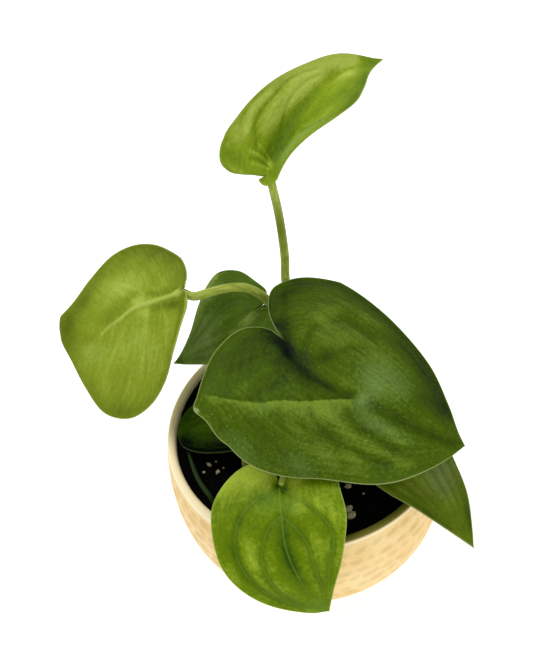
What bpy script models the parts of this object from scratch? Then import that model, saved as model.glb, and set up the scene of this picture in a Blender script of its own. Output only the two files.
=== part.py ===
"""Potted scindapsus: a dimpled ceramic pot, soil, three leafy stems, a runner and seven leaf blades."""
import math

import bmesh
import bpy
import numpy as np

# Every size here is in millimetres and is scaled to metres when a mesh is made.
# z = 0 is the pot's underside, the pot's axis is x = y = 0 and the viewer stands at -Y.
GAP = 0.3

# Pot
RIM_Z = 66.0
COLUMNS = 72
DIMPLE_DEPTH = 0.7
DIMPLE_BOTTOM_Z = 9.0
DIMPLE_TOP_Z = 60.0
DIMPLE_ROWS = 11
OUTER = [(46.0, 0.0), (50.0, 2.5), (53.5, 7.5), (57.0, 13.5), (59.5, 20.5), (61.2, 30.0), (62.0, 42.0),
         (61.6, 51.0), (60.6, 59.5), (60.0, 63.0)]
LIP = [(60.0, 63.0), (59.6, 64.8), (58.4, RIM_Z), (57.2, 65.8), (56.4, 64.8)]
INNER = [(56.2, 62.0), (56.4, 42.0), (55.4, 24.0), (50.5, 12.0), (44.0, 6.4)]
FLOOR_Z = 6.0

# Soil
SOIL_EDGE_Z = 62.4
SOIL_CROWN = 2.0
SOIL_BUMP = 0.35
HOLE_FLOOR_Z = 49.5
HOLE_SIDES = 16

# Leaf blades
BLADE = 0.8


def unit(v):
    v = np.asarray(v, float)
    return v / np.linalg.norm(v)


def spline(points, count):
    """A smooth open curve through the points, sampled at count places along its length."""
    p = np.asarray(points, float)
    p = np.vstack([2 * p[0] - p[1], p, 2 * p[-1] - p[-2]])
    knots = np.r_[0.0, np.cumsum(np.sqrt(np.linalg.norm(np.diff(p, axis=0), axis=1)))]
    dense = []
    for i in range(1, len(p) - 2):
        t0, t1, t2, t3 = knots[i - 1:i + 3]
        a, b, c, d = p[i - 1:i + 3]
        m1 = (t2 - t1) * ((b - a) / (t1 - t0) - (c - a) / (t2 - t0) + (c - b) / (t2 - t1))
        m2 = (t2 - t1) * ((c - b) / (t2 - t1) - (d - b) / (t3 - t1) + (d - c) / (t3 - t2))
        u = np.linspace(0, 1, 24, endpoint=False)[:, None]
        dense.append((2 * u**3 - 3 * u**2 + 1) * b + (u**3 - 2 * u**2 + u) * m1
                     + (3 * u**2 - 2 * u**3) * c + (u**3 - u**2) * m2)
    dense = np.vstack(dense + [p[-2][None]])
    run = np.r_[0.0, np.cumsum(np.linalg.norm(np.diff(dense, axis=0), axis=1))]
    at = np.linspace(0, run[-1], count)
    return np.stack([np.interp(at, run, dense[:, k]) for k in range(dense.shape[1])], 1)


def turn_matrix(heading, pitch, roll):
    """Columns: across the leaf, along it to the tip, and out of its upper face."""
    h, p, r = np.radians([heading, pitch, roll])
    along = np.array([math.cos(h) * math.cos(p), math.sin(h) * math.cos(p), math.sin(p)])
    across = np.array([math.sin(h), -math.cos(h), 0.0])
    up = np.cross(across, along)
    return np.stack([across * math.cos(r) + up * math.sin(r), along,
                     -across * math.sin(r) + up * math.cos(r)], 1)


def bend(points, origin, direction, angle, radius):
    """Roll what lies right of a line down by an angle (up when it is negative) at a bend radius."""
    d = unit(direction)
    n = np.array([d[1], -d[0]])
    s = (points[:, :2] - np.asarray(origin, float)) @ n
    side = np.where(angle < 0, -1.0, 1.0)
    a = np.abs(angle)
    z = side * points[:, 2]
    phi = np.clip(s / radius, 0, a)
    rest = s - radius * phi
    before = np.minimum(rest, 0)
    past = np.maximum(rest, 0)
    s2 = before + (radius + z) * np.sin(phi) + past * np.cos(a)
    z2 = -radius + (radius + z) * np.cos(phi) - past * np.sin(a)
    out = points.copy()
    out[:, :2] += (s2 - s)[:, None] * n
    out[:, 2] = side * z2
    return out


def along_blade(value, t):
    base, tip = value if isinstance(value, tuple) else (value, value)
    return np.radians(base + (tip - base) * t)


def leaf_surface(leaf, flat):
    """The bent middle surface of a blade, from flat points (across, along) measured at its stalk."""
    t = np.clip(flat[:, 1] / leaf["length"], 0, 1)
    shift = leaf.get("sickle", 0) * t**2 + leaf.get("bow", 0) * 4 * t * (1 - t)
    p = np.stack([flat[:, 0] + shift, flat[:, 1], np.zeros(len(flat))], 1)
    fold = leaf.get("fold_radius", 10)
    p = bend(p, (0, 0), (0, 1), -along_blade(leaf.get("fold_right", 0), t), fold)
    p = bend(p, (0, 0), (0, -1), -along_blade(leaf.get("fold_left", 0), t), fold)
    p[:, 0] += leaf.get("curve", 0) * 4 * t * (1 - t)
    if "ridge" in leaf:
        start, end, angle, radius, fade = leaf["ridge"]
        start, end = np.array(start, float), np.array(end, float)
        along = (p[:, :2] - start) @ (end - start) / np.sum((end - start)**2)
        k = np.clip((along - fade[0]) / (fade[1] - fade[0]), 0, 1)
        p = bend(p, start, end - start, math.radians(angle) * (1 - k * k * (3 - 2 * k)), radius)
    if "lobe" in leaf:
        p = bend(p, (0, 0), (1, 0), math.radians(leaf["lobe"]), leaf["lobe_radius"])
    if "curl" in leaf:
        start, way, angle, radius = leaf["curl"]
        p = bend(p, start, way, math.radians(angle), radius)
    if leaf.get("arch", 0):
        p = bend(p, (0, 0), (-1, 0), math.radians(leaf["arch"]), leaf["length"] / math.radians(leaf["arch"]))
    return p @ turn_matrix(leaf["heading"], leaf["pitch"], leaf["roll"]).T + np.array(leaf["at"])


# Leaf blades: "at" is where the stalk meets the blade, "right" and "left" are the margins from the notch to the
# tip as seen from above with the tip ahead, and the angles are degrees.
LEAVES = {
    "leaf_big": dict(
        at=(-3.5, 2.0, 116.0), length=79, heading=-32, pitch=-5, roll=-4, arch=25, bow=7,
        fold_right=0, fold_left=-15, fold_radius=20, ridge=((36.2, -20), (7, 37), 46, 3.5, (0.75, 1.45)),
        right=[(-1.5, -3), (-3.5, -11), (2, -20.5), (16, -24), (29, -21.8), (35, -20), (37.8, -19.2), (39.8, -17.8),
               (44, -12.5), (48.2, -4), (48.8, 8), (45, 22), (39.5, 34), (31, 49), (22, 64), (10, 74)],
        left=[(-1.8, -3), (-8.5, -12), (-18, -19), (-29, -22), (-42, -15), (-49, 4), (-47, 27), (-34, 52),
              (-16.5, 67), (-5, 74.5)],
        columns=27, rings=(0.12, 0.25, 0.37, 0.47, 0.56, 0.64, 0.72, 0.8, 0.9, 1.0)),
    "leaf_left": dict(
        at=(-47.2, 35.7, 118.0), length=75, heading=167, pitch=-25, roll=30, bow=-3,
        fold_right=-12, fold_left=-6, fold_radius=20, lobe=30, lobe_radius=15, curl=((0, 66), (-1, 0), 110, 3),
        right=[(1.5, -3.1), (7, -3.9), (13, -2.2), (21, 4.8), (29.5, 16), (33.2, 28), (31.3, 40), (22, 51.5), (11.5, 60.5),
               (6, 67), (4, 71)],
        left=[(-0.6, -3.1), (-3.2, -3.6), (-7.5, -3), (-15.5, 1.8), (-24.5, 7), (-34.5, 12.6), (-42, 21), (-45.5, 33), (-41, 47),
              (-28, 56.5), (-14, 63.5), (-6.5, 68), (-4, 71)],
        columns=24, rings=(0.15, 0.33, 0.5, 0.66, 0.79, 0.86, 0.91, 0.955, 1.0)),
    "leaf_top": dict(
        at=(-4.6, 30.1, 178.3), length=72, heading=41, pitch=30, roll=-15, arch=42, curve=-7,
        fold_right=(64, 0), fold_left=(40, 30), fold_radius=5,
        right=[(-1.4, -2.5), (-2.2, -3.6), (0.6, -4.3), (4.3, -2.2), (7.5, 2), (12, 8), (19, 15), (25, 23), (24.5, 32),
               (16.5, 45), (7, 58.5)],
        left=[(-2.5, -2.3), (-6, -4.2), (-12, -7.8), (-17.5, -7.2), (-21.5, -0.5), (-19.5, 9), (-15.5, 25), (-11, 41),
              (-7, 58)],
        columns=20, rings=(0.12, 0.25, 0.4, 0.55, 0.7, 0.85, 1.0)),
    "leaf_front": dict(
        at=(-11.2, -40.0, 80.0), length=55, heading=-92, pitch=-5, roll=-18, arch=72, sickle=-7, bow=1,
        fold_right=4, fold_left=-14, fold_radius=10,
        right=[(1, -3), (5, -11), (13, -12.5), (20.5, -9), (28, 1), (29.5, 15), (28, 30), (20.4, 43), (8.4, 52)],
        left=[(-0.8, -3), (-5, -12), (-13, -15), (-20, -9), (-23.5, 4), (-24.4, 16), (-18, 32), (-7, 46.5)],
        columns=18, rings=(0.15, 0.33, 0.5, 0.66, 0.81, 0.93, 1.0)),
    "leaf_back": dict(
        at=(-19.0, 37.1, 100.0), length=43, heading=192, pitch=-25, roll=10, arch=10,
        fold_right=5, fold_left=5, fold_radius=10,
        right=[(0.7, -5), (2.6, -8.3), (5, -10.2), (12, -8), (21, -3), (26, 6), (23, 14), (16.5, 21.5), (8, 29.5),
               (2, 38)],
        left=[(-0.9, -5), (-4, -8), (-4.8, -11), (-5.2, -15), (-8, -19.5), (-15, -19), (-21, -9), (-22, 6), (-18, 18),
              (-11, 28), (-4, 38)],
        columns=15, rings=(0.2, 0.45, 0.7, 0.88, 1.0)),
    "leaf_right": dict(
        at=(33.7, -24.4, 86.0), length=53, heading=-60, pitch=-10, roll=0, arch=10,
        fold_right=5, fold_left=5, fold_radius=10,
        right=[(1, -3), (6, -11), (15, -13), (20, -5), (20, 6), (16, 19), (11, 28.5), (4.5, 43)],
        left=[(-1, -3), (-6, -10), (-14, -12), (-18.5, -4), (-18, 9), (-15, 21), (-10.8, 35), (-4, 47)],
        columns=15, rings=(0.2, 0.45, 0.7, 0.88, 1.0)),
    "leaf_low": dict(
        at=(-17.6, -2.8, 75.0), length=37.5, heading=180, pitch=-4, roll=0, arch=8,
        right=[(1, -3), (5, -9), (13, -10), (18, -3), (19, 10), (17.5, 22), (13.5, 31.5), (6, 36.8)],
        left=[(-1, -3), (-5, -8), (-11, -8.5), (-14, -2), (-14, 8), (-13.5, 19), (-11.5, 28), (-7, 34.8)],
        columns=14, rings=(0.25, 0.55, 0.82, 1.0)),
}

# Stems: the first two points are the round foot that stands in its hole in the soil.
STEMS = {
    "stem_back": dict(foot=(0.4, 35.7), radius=3.0,
                      path=[(0.4, 35.7, 66), (0.4, 35.7, 73), (0.8, 35.2, 80), (0.9, 35.0, 83)],
                      radii=[3.0, 2.9, 2.2, 0.9]),
    "stem_front": dict(foot=(2.3, -7.8), radius=3.2,
                       path=[(2.3, -7.8, 66), (2.3, -7.8, 72), (2.9, -8.5, 80), (3.1, -8.7, 83)],
                       radii=[3.2, 3.1, 2.2, 0.9]),
    "stem_low": dict(foot=(-26.0, -17.0), radius=1.9,
                     path=[(-26, -17, 66), (-25.9, -16.6, 68), (-25.8, -16.3, 70)],
                     radii=[1.9, 1.8, 1.2]),
}

# Leaf stalks: the stem and the leaf each one joins, the way it takes, and its radius at either end.
STALKS = {
    "leaf_top": ("stem_back", [(0.6, 36.6, 71), (-0.7, 40.6, 84), (-1.9, 45.3, 97), (-2.4, 46.7, 109),
                               (-1.8, 46.2, 121), (-2.0, 42.3, 138), (-2.7, 36.7, 156), (-3.9, 31.9, 172)], 2.1, 1.6),
    "leaf_left": ("stem_back", [(-0.1, 35.9, 68), (-4.0, 36.6, 82), (-8.5, 38.0, 97), (-11.5, 38.2, 106),
                                (-16.9, 38.4, 112), (-22.5, 36.9, 116), (-28.7, 35.5, 117.1), (-35.8, 34.3, 116.6),
                                (-41.6, 34.6, 115.2)], 2.15, 1.85),
    "leaf_back": ("stem_back", [(0.2, 35.0, 65), (-8.0, 32.5, 79), (-14.5, 34.0, 90), (-17.8, 36.2, 96.5)], 1.4, 1.1),
    "leaf_big": ("stem_front", [(2.0, -8.0, 70), (1.2, -5.5, 86), (-0.8, -1.5, 101), (-3.0, 1.4, 112.5)], 2.1, 1.7),
    "leaf_front": ("stem_front", [(1.8, -9.0, 69), (-3.5, -19.0, 72.5), (-8.0, -28.0, 74.8),
                                  (-10.1, -33.2, 76.2)], 1.4, 1.1),
    "leaf_right": ("stem_front", [(2.6, -8.4, 70), (12.0, -13.0, 75.0), (23.0, -18.5, 80.5),
                                  (30.5, -22.6, 83.8)], 1.4, 1.1),
    "leaf_low": ("stem_low", [(-25.9, -16.6, 66.6), (-24.8, -12.5, 69.6), (-21.5, -7.5, 72.0),
                              (-19.0, -4.4, 73.0)], 1.3, 1.0),
}

RUNNER = [(-40.2, -33.6, 50.0), (-40.2, -33.6, 57.0), (-40.2, -33.6, 62.2), (-40.2, -33.6, 63.4), (-41.2, -32.1, 65.3),
          (-43.3, -28.9, 65.8), (-45.8, -24.2, 65.9), (-47.7, -19.1, 66.0), (-49.3, -13.5, 66.2), (-50.2, -10.3, 66.4)]
RUNNER_RADII = [1.1, 1.1, 1.1, 1.1, 1.1, 1.05, 1.0, 0.95, 0.8, 0.5]


def mesh_object(name, points, faces):
    mesh = bpy.data.meshes.new(name)
    mesh.from_pydata((np.asarray(points) * 0.001).tolist(), [], [tuple(int(i) for i in f) for f in faces])
    mesh.validate()
    body = bmesh.new()
    body.from_mesh(mesh)
    bmesh.ops.recalc_face_normals(body, faces=body.faces)
    body.to_mesh(mesh)
    body.free()
    item = bpy.data.objects.new(name, mesh)
    bpy.context.scene.collection.objects.link(item)
    return item


def paint(item, name, colour, roughness):
    material = bpy.data.materials.new(name)
    material.use_nodes = True
    shader = material.node_tree.nodes["Principled BSDF"]
    shader.inputs["Base Color"].default_value = colour
    shader.inputs["Roughness"].default_value = roughness
    material.diffuse_color = colour
    item.data.materials.clear()
    item.data.materials.append(material)


def join_rings(rings):
    """Close a stack of rings (each an array of points) into one body; a single point is a pole."""
    points, faces, starts = [], [], []
    for ring in rings:
        starts.append(len(points))
        points.extend(np.atleast_2d(ring).tolist())
    sizes = [len(np.atleast_2d(r)) for r in rings]
    for k in range(len(rings) - 1):
        a, b, n, m = starts[k], starts[k + 1], sizes[k], sizes[k + 1]
        for i in range(max(n, m)):
            if n == m:
                j = (i + 1) % n
                faces += [(a + i, a + j, b + j), (a + i, b + j, b + i)]
            elif n == 1:
                faces.append((a, b + i, b + (i + 1) % m))
            elif m == 1:
                faces.append((a + i, a + (i + 1) % n, b))
            elif n == 2 * m and i < m:
                p, q, r, s, t = a + 2 * i, a + 2 * i + 1, a + (2 * i + 2) % n, b + i, b + (i + 1) % m
                faces += [(p, q, s), (q, t, s), (q, r, t)]
            elif m == 2 * n and i < n:
                p, q, r, s, t = b + 2 * i, b + 2 * i + 1, b + (2 * i + 2) % m, a + i, a + (i + 1) % n
                faces += [(p, s, q), (q, s, t), (q, t, r)]
    return np.array(points), faces


def circle(radius, z, count):
    angle = np.arange(count) * 2 * math.pi / count
    return np.stack([radius * np.cos(angle), radius * np.sin(angle), np.broadcast_to(z, count)], 1)


def pot():
    """The pot is one turned body; its wall is beaten into rows of dimples set half a step apart."""
    wall_r, wall_z = np.array(OUTER).T
    rings = [np.array([0.0, 0.0, 0.0]), circle(OUTER[0][0], 0.0, COLUMNS), circle(*OUTER[1], COLUMNS)]
    pits = np.linspace(DIMPLE_BOTTOM_Z, DIMPLE_TOP_Z, DIMPLE_ROWS)
    for k, z in enumerate(pits):
        pit = (np.arange(2 * COLUMNS) + k) % 2 == 0
        rings.append(circle(np.interp(z, wall_z, wall_r) - np.where(pit, DIMPLE_DEPTH, 0.0), z, 2 * COLUMNS))
    rings += [circle(r, z, COLUMNS) for r, z in LIP + INNER]
    rings.append(np.array([0.0, 0.0, FLOOR_Z]))
    item = mesh_object("pot", *join_rings(rings))
    paint(item, "cream_glaze", (0.87, 0.70, 0.37, 1), 0.4)
    return item


def tube_rings(points, radii, sides, leaf_face=None):
    """Rings of a round stalk; the last one leans half way towards lying parallel to its leaf."""
    p = np.asarray(points, float)
    ahead = np.gradient(p, axis=0)
    ahead /= np.linalg.norm(ahead, axis=1)[:, None]
    side = unit(np.cross(ahead[0], (0.3, 1.0, 0.2)))
    turn = np.arange(sides) * 2 * math.pi / sides
    rings = []
    for k in range(len(p)):
        side = unit(side - ahead[k] * (side @ ahead[k]))
        other = np.cross(ahead[k], side)
        rings.append(p[k] + radii[k] * (np.cos(turn)[:, None] * side + np.sin(turn)[:, None] * other))
    if leaf_face is not None:
        lean = unit(ahead[-1] + leaf_face)
        rings[-1] -= ((rings[-1] - p[-1]) @ lean / (ahead[-1] @ lean))[:, None] * ahead[-1]
    return rings


def tube(name, points, radii, sides, leaf_face=None):
    rings = tube_rings(points, radii, sides, leaf_face)
    return mesh_object(name, *join_rings([rings[0].mean(0)] + rings + [rings[-1].mean(0)]))


def combine(item, others, operation):
    """Join or cut an item with a collection of bodies, then take the collection away."""
    group = bpy.data.collections.new(item.name + "_tools")
    bpy.context.scene.collection.children.link(group)
    for other in others:
        bpy.context.scene.collection.objects.unlink(other)
        group.objects.link(other)
    step = item.modifiers.new("combine", "BOOLEAN")
    step.operation = operation
    step.operand_type = "COLLECTION"
    step.collection = group
    step.solver = "EXACT"
    bpy.context.view_layer.objects.active = item
    bpy.ops.object.modifier_apply(modifier=step.name)
    for other in others:
        bpy.data.objects.remove(other, do_unlink=True)
    bpy.data.collections.remove(group)


def leaf_outline(leaf, count):
    tip = [(0.0, leaf["length"])]
    right = spline(leaf["right"] + tip, count)
    left = spline(leaf["left"] + tip, count)
    return np.vstack([right, left[-2::-1]])


def leaf_blade(name, leaf):
    """Both faces of a blade are the same grid of triangles, half a thickness either side of its middle."""
    edge = leaf_outline(leaf, leaf["columns"])
    n = len(edge)
    flat = np.vstack([np.zeros((1, 2))] + [edge * b for b in leaf["rings"]])
    middle = leaf_surface(leaf, flat)
    grid = [(0, 1 + i, 2 + i) for i in range(n - 1)]
    for k in range(len(leaf["rings"]) - 1):
        a, b = 1 + k * n, 1 + (k + 1) * n
        for i in range(n - 1):
            grid += [(a + i, b + i, b + i + 1), (a + i, b + i + 1, a + i + 1)]
    grid = np.array(grid)
    face = np.cross(middle[grid[:, 1]] - middle[grid[:, 0]], middle[grid[:, 2]] - middle[grid[:, 0]])
    normal = np.zeros_like(middle)
    for k in range(3):
        np.add.at(normal, grid[:, k], face)
    normal /= np.linalg.norm(normal, axis=1)[:, None]
    count = len(middle)
    points = np.vstack([middle + normal * BLADE / 2, middle - normal * BLADE / 2])
    faces = [tuple(t) for t in grid] + [tuple(t[::-1] + count) for t in grid]
    last = 1 + (len(leaf["rings"]) - 1) * n
    rim = [0] + [1 + k * n for k in range(len(leaf["rings"]))]
    rim += list(range(last + 1, last + n)) + [k * n for k in range(len(leaf["rings"]) - 1, 0, -1)]
    for i, a in enumerate(rim):
        b = rim[(i + 1) % len(rim)]
        faces += [(a, a + count, b + count), (a, b + count, b)]
    return mesh_object(name, points, faces)


def soil():
    """The soil fills the pot; its top is a low uneven mound."""
    columns = COLUMNS // 2
    inner = [(r - GAP - 0.05, z) for r, z in INNER[::-1]]
    rings = [np.array([0.0, 0.0, FLOOR_Z + GAP]), circle(inner[0][0], FLOOR_Z + GAP + 0.4, columns)]
    rings += [circle(r, z, columns) for r, z in inner[1:-1]]
    for k, r in enumerate((inner[-1][0], 46.0, 34.0, 21.0, 9.0)):
        turn = np.arange(columns) * 2 * math.pi / columns
        bump = SOIL_BUMP * np.sin(5 * turn + 2.1 * k) * np.cos(3 * turn - 1.3 * k) if k else 0.0
        rings.append(circle(r, SOIL_EDGE_Z + SOIL_CROWN * (1 - (r / inner[-1][0])**2) + bump, columns))
    rings.append(np.array([0.0, 0.0, SOIL_EDGE_Z + SOIL_CROWN]))
    item = mesh_object("soil", *join_rings(rings))
    feet = [(s["foot"], s["radius"]) for s in STEMS.values()] + [(RUNNER[0][:2], RUNNER_RADII[0])]
    holes = []
    for k, (foot, radius) in enumerate(feet):
        ring = circle(radius + GAP, 0.0, HOLE_SIDES) + np.array([foot[0], foot[1], 0.0])
        low, high = ring + np.array([0, 0, HOLE_FLOOR_Z]), ring + np.array([0, 0, RIM_Z + 4])
        holes.append(mesh_object(f"hole_{k}", *join_rings([low.mean(0), low, high, high.mean(0)])))
    combine(item, holes, "DIFFERENCE")
    paint(item, "black_soil", (0.012, 0.010, 0.008, 1), 0.95)


def stems():
    for name, stem in STEMS.items():
        x, y = stem["foot"]
        item = tube(name, [(x, y, HOLE_FLOOR_Z + GAP), (x, y, 60.0)] + stem["path"],
                    [stem["radius"]] * 2 + stem["radii"], 12)
        stalks = []
        for leaf_name, (owner, path, base, end) in STALKS.items():
            if owner != name:
                continue
            leaf = LEAVES[leaf_name]
            face = turn_matrix(leaf["heading"], leaf["pitch"], leaf["roll"])[:, 2]
            count = 3 * len(path) - 1
            radii = np.linspace(base, end, count)
            meet = np.array(leaf["at"], float)
            for _ in range(3):
                line = spline(path + [tuple(meet)], count)
                high = np.max((tube_rings(line, radii, 8, face)[-1] - leaf["at"]) @ face)
                meet -= face * (high + BLADE / 2 + GAP + 0.09)
            stalks.append(tube("stalk_" + leaf_name, spline(path + [tuple(meet)], count), radii, 8, face))
        combine(item, stalks, "UNION")
        paint(item, "green_stalk_" + name, (0.24, 0.29, 0.09, 1), 0.5)


bpy.ops.object.select_all(action="DESELECT")
for old in list(bpy.data.objects):
    bpy.data.objects.remove(old, do_unlink=True)

pot()
soil()
stems()
runner = tube("runner", spline(RUNNER, 24), np.interp(np.linspace(0, 9, 24), range(10), RUNNER_RADII), 8)
paint(runner, "dark_runner", (0.03, 0.07, 0.02, 1), 0.5)
GREENS = {"leaf_big": (0.10, 0.16, 0.02, 1), "leaf_left": (0.24, 0.32, 0.05, 1), "leaf_top": (0.27, 0.36, 0.07, 1),
          "leaf_front": (0.16, 0.25, 0.01, 1), "leaf_back": (0.06, 0.11, 0.01, 1), "leaf_right": (0.07, 0.11, 0.01, 1),
          "leaf_low": (0.02, 0.05, 0.01, 1)}
for leaf_name, leaf in LEAVES.items():
    paint(leaf_blade(leaf_name, leaf), "green_" + leaf_name, GREENS[leaf_name], 0.45)
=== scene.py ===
# %% [markdown]
# # A potted scindapsus
# The plant is seven heart-shaped leaves on long stalks. They grow from short stems in black soil, in a round
# ceramic pot with a dimpled cream glaze. The solids come in from model.glb, so this lesson only dresses them:
# each one is replaced by a finer piece worked out with numpy in the same place.

# %% Load the imported part
import math

import bmesh
import bpy
import numpy as np
from mathutils import Matrix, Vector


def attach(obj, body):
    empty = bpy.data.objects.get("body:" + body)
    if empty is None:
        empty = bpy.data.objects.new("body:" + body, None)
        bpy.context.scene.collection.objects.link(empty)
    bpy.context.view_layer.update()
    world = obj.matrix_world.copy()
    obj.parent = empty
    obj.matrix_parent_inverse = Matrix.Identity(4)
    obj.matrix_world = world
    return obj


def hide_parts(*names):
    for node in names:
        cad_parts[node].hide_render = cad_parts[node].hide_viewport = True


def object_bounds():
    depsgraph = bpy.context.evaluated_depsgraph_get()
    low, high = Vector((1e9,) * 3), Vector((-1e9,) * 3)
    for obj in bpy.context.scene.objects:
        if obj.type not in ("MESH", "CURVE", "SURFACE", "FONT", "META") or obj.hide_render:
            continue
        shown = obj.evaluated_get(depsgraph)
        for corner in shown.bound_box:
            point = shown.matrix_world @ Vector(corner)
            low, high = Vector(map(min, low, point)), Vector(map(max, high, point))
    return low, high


MM = 0.001
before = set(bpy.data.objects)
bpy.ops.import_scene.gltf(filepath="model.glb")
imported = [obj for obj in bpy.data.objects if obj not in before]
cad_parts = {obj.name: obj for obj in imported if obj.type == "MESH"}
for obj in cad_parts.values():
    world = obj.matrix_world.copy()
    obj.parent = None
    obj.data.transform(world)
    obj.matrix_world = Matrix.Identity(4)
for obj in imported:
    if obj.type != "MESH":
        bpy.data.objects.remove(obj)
cad_box = [[float(v) for v in corner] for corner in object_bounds()]
print("solids:", sorted(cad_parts))

# %% [markdown]
# ## The camera
# The photo looks down into the pot. The pot's inner rim shows as an ellipse, and its width and height give
# the distance and the steepness of the view. Lengths below are millimetres, as on the part's drawing.

# %% Camera
RIM_Z = 66.0
VIEW_DISTANCE = 392.7
VIEW_ELEVATION = math.radians(53.6)
VIEW_ROLL = math.radians(-5.0)
FOCAL_PIXELS = 900.0
PHOTO_WIDTH, PHOTO_HEIGHT = 533, 666
RIM_CENTRE_X, RIM_CENTRE_Y = 303.9, 423.7
SENSOR = 36.0
NEAREST_SEEN = 10.0


def unit(v):
    v = np.asarray(v, float)
    return v / np.linalg.norm(v)


def turn_between(a, b):
    """The smallest turn that brings direction a onto direction b, from their cross product."""
    axis, cosine = np.cross(a, b), float(np.dot(a, b))
    k = np.array([[0, -axis[2], axis[1]], [axis[2], 0, -axis[0]], [-axis[1], axis[0], 0]])
    return np.eye(3) + k + k @ k / (1 + cosine)


def camera_axes():
    """Right, up and ahead of a camera aimed at the rim's centre, then turned so it lands off centre."""
    ahead = -unit((0, -math.cos(VIEW_ELEVATION), math.sin(VIEW_ELEVATION)))
    right = np.array([1.0, 0.0, 0.0])
    up = np.cross(right, ahead)
    tilted_right = math.cos(VIEW_ROLL) * right + math.sin(VIEW_ROLL) * up
    tilted_up = -math.sin(VIEW_ROLL) * right + math.cos(VIEW_ROLL) * up
    off_x = (RIM_CENTRE_X - PHOTO_WIDTH / 2) / FOCAL_PIXELS
    off_y = (PHOTO_HEIGHT / 2 - RIM_CENTRE_Y) / FOCAL_PIXELS
    turn = turn_between(np.array([0.0, 0.0, 1.0]), unit((off_x, off_y, 1)))
    return np.stack([tilted_right, tilted_up, ahead], 1) @ turn.T


axes = camera_axes()
eye_y = -VIEW_DISTANCE * math.cos(VIEW_ELEVATION)
eye_z = VIEW_DISTANCE * math.sin(VIEW_ELEVATION) + RIM_Z
eye = np.array([0, eye_y, eye_z])
camera = bpy.data.objects.new("camera", bpy.data.cameras.new("camera"))
bpy.context.scene.collection.objects.link(camera)
pose = np.eye(4)
pose[:3, :3] = np.stack([axes[:, 0], axes[:, 1], -axes[:, 2]], 1)
pose[:3, 3] = eye * MM
camera.matrix_world = Matrix(pose.tolist())
camera.data.sensor_width = SENSOR
camera.data.lens = SENSOR * FOCAL_PIXELS / PHOTO_HEIGHT
camera.data.clip_start = NEAREST_SEEN * MM
bpy.context.scene.camera = camera
print("camera at", np.round(eye, 1), "mm, lens", round(camera.data.lens, 2))

# %% [markdown]
# ## Helpers for meshes and node materials
# Every piece is a grid of points. One helper puts such a grid into a mesh, one gives smooth curves, and a
# small builder keeps the material code short: it adds a node, sets its plain values, and links the rest.

# %% Mesh from arrays
WELD_DISTANCE = 1e-6


def make_piece(name, points, faces, uv=None, values=None):
    """A smooth mesh from points in millimetres; uv and values hold one entry a point."""
    faces = np.asarray(faces, np.int32)
    sides = faces.shape[1]
    mesh = bpy.data.meshes.new(name)
    mesh.vertices.add(len(points))
    mesh.vertices.foreach_set("co", (np.asarray(points, np.float32) * MM).ravel())
    mesh.loops.add(faces.size)
    mesh.loops.foreach_set("vertex_index", faces.ravel())
    mesh.polygons.add(len(faces))
    mesh.polygons.foreach_set("loop_start", np.arange(len(faces), dtype=np.int32) * sides)
    mesh.polygons.foreach_set("loop_total", np.full(len(faces), sides, np.int32))
    mesh.polygons.foreach_set("use_smooth", np.ones(len(faces), bool))
    if uv is not None:
        layer = mesh.uv_layers.new(name="UVMap")
        layer.data.foreach_set("uv", np.asarray(uv, np.float32)[faces.ravel()].ravel())
    for key, value in (values or {}).items():
        field = mesh.attributes.new(key, "FLOAT", "POINT")
        field.data.foreach_set("value", np.asarray(value, np.float32).ravel())
    mesh.update()
    mesh.validate()
    piece = bpy.data.objects.new(name, mesh)
    bpy.context.scene.collection.objects.link(piece)
    return piece


def weld(piece):
    """Close the seams and poles of a turned shape by merging points that lie together."""
    body = bmesh.new()
    body.from_mesh(piece.data)
    bmesh.ops.remove_doubles(body, verts=body.verts, dist=WELD_DISTANCE)
    body.to_mesh(piece.data)
    body.free()


def grid_faces(rows, columns, wrap=False):
    """Corner numbers of the four-sided faces of a rows by columns grid, closed round if wrap is true."""
    i, j = np.meshgrid(np.arange(rows - 1), np.arange(columns if wrap else columns - 1), indexing="ij")
    k = (j + 1) % columns
    low, high = i * columns, (i + 1) * columns
    return np.stack([low + j, low + k, high + k, high + j], -1).reshape(-1, 4)


print("points closer than", WELD_DISTANCE, "m are welded")

# %% Curves and steps
SPLINE_STEPS = 24


def smooth(x):
    """A step from 0 to 1 with a soft start and end."""
    x = np.clip(x, 0, 1)
    return x * x * (3 - 2 * x)


def unit_rows(v):
    return v / np.linalg.norm(v, axis=-1, keepdims=True)


def spline(points, count):
    """A smooth open curve through the points (centripetal Catmull-Rom), sampled evenly along its length."""
    p = np.asarray(points, float)
    p = np.vstack([2 * p[0] - p[1], p, 2 * p[-1] - p[-2]])
    knots = np.r_[0.0, np.cumsum(np.sqrt(np.linalg.norm(np.diff(p, axis=0), axis=1)))]
    t0, t1, t2, t3 = (knots[i:len(knots) - 3 + i, None, None] for i in range(4))
    a, b, c, d = (p[i:len(p) - 3 + i, None, :] for i in range(4))
    m1 = (t2 - t1) * ((b - a) / (t1 - t0) - (c - a) / (t2 - t0) + (c - b) / (t2 - t1))
    m2 = (t2 - t1) * ((c - b) / (t2 - t1) - (d - b) / (t3 - t1) + (d - c) / (t3 - t2))
    u = np.linspace(0, 1, SPLINE_STEPS, endpoint=False)[None, :, None]
    dense = ((2 * u**3 - 3 * u**2 + 1) * b + (u**3 - 2 * u**2 + u) * m1
             + (3 * u**2 - 2 * u**3) * c + (u**3 - u**2) * m2).reshape(-1, p.shape[1])
    dense = np.vstack([dense, p[-2]])
    run = np.r_[0.0, np.cumsum(np.linalg.norm(np.diff(dense, axis=0), axis=1))]
    at = np.linspace(0, run[-1], count)
    return np.stack([np.interp(at, run, dense[:, k]) for k in range(dense.shape[1])], 1)


print("a half step is", smooth(0.5))

# %% Material builder
NOISE_ROUGHNESS = 0.55


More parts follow.
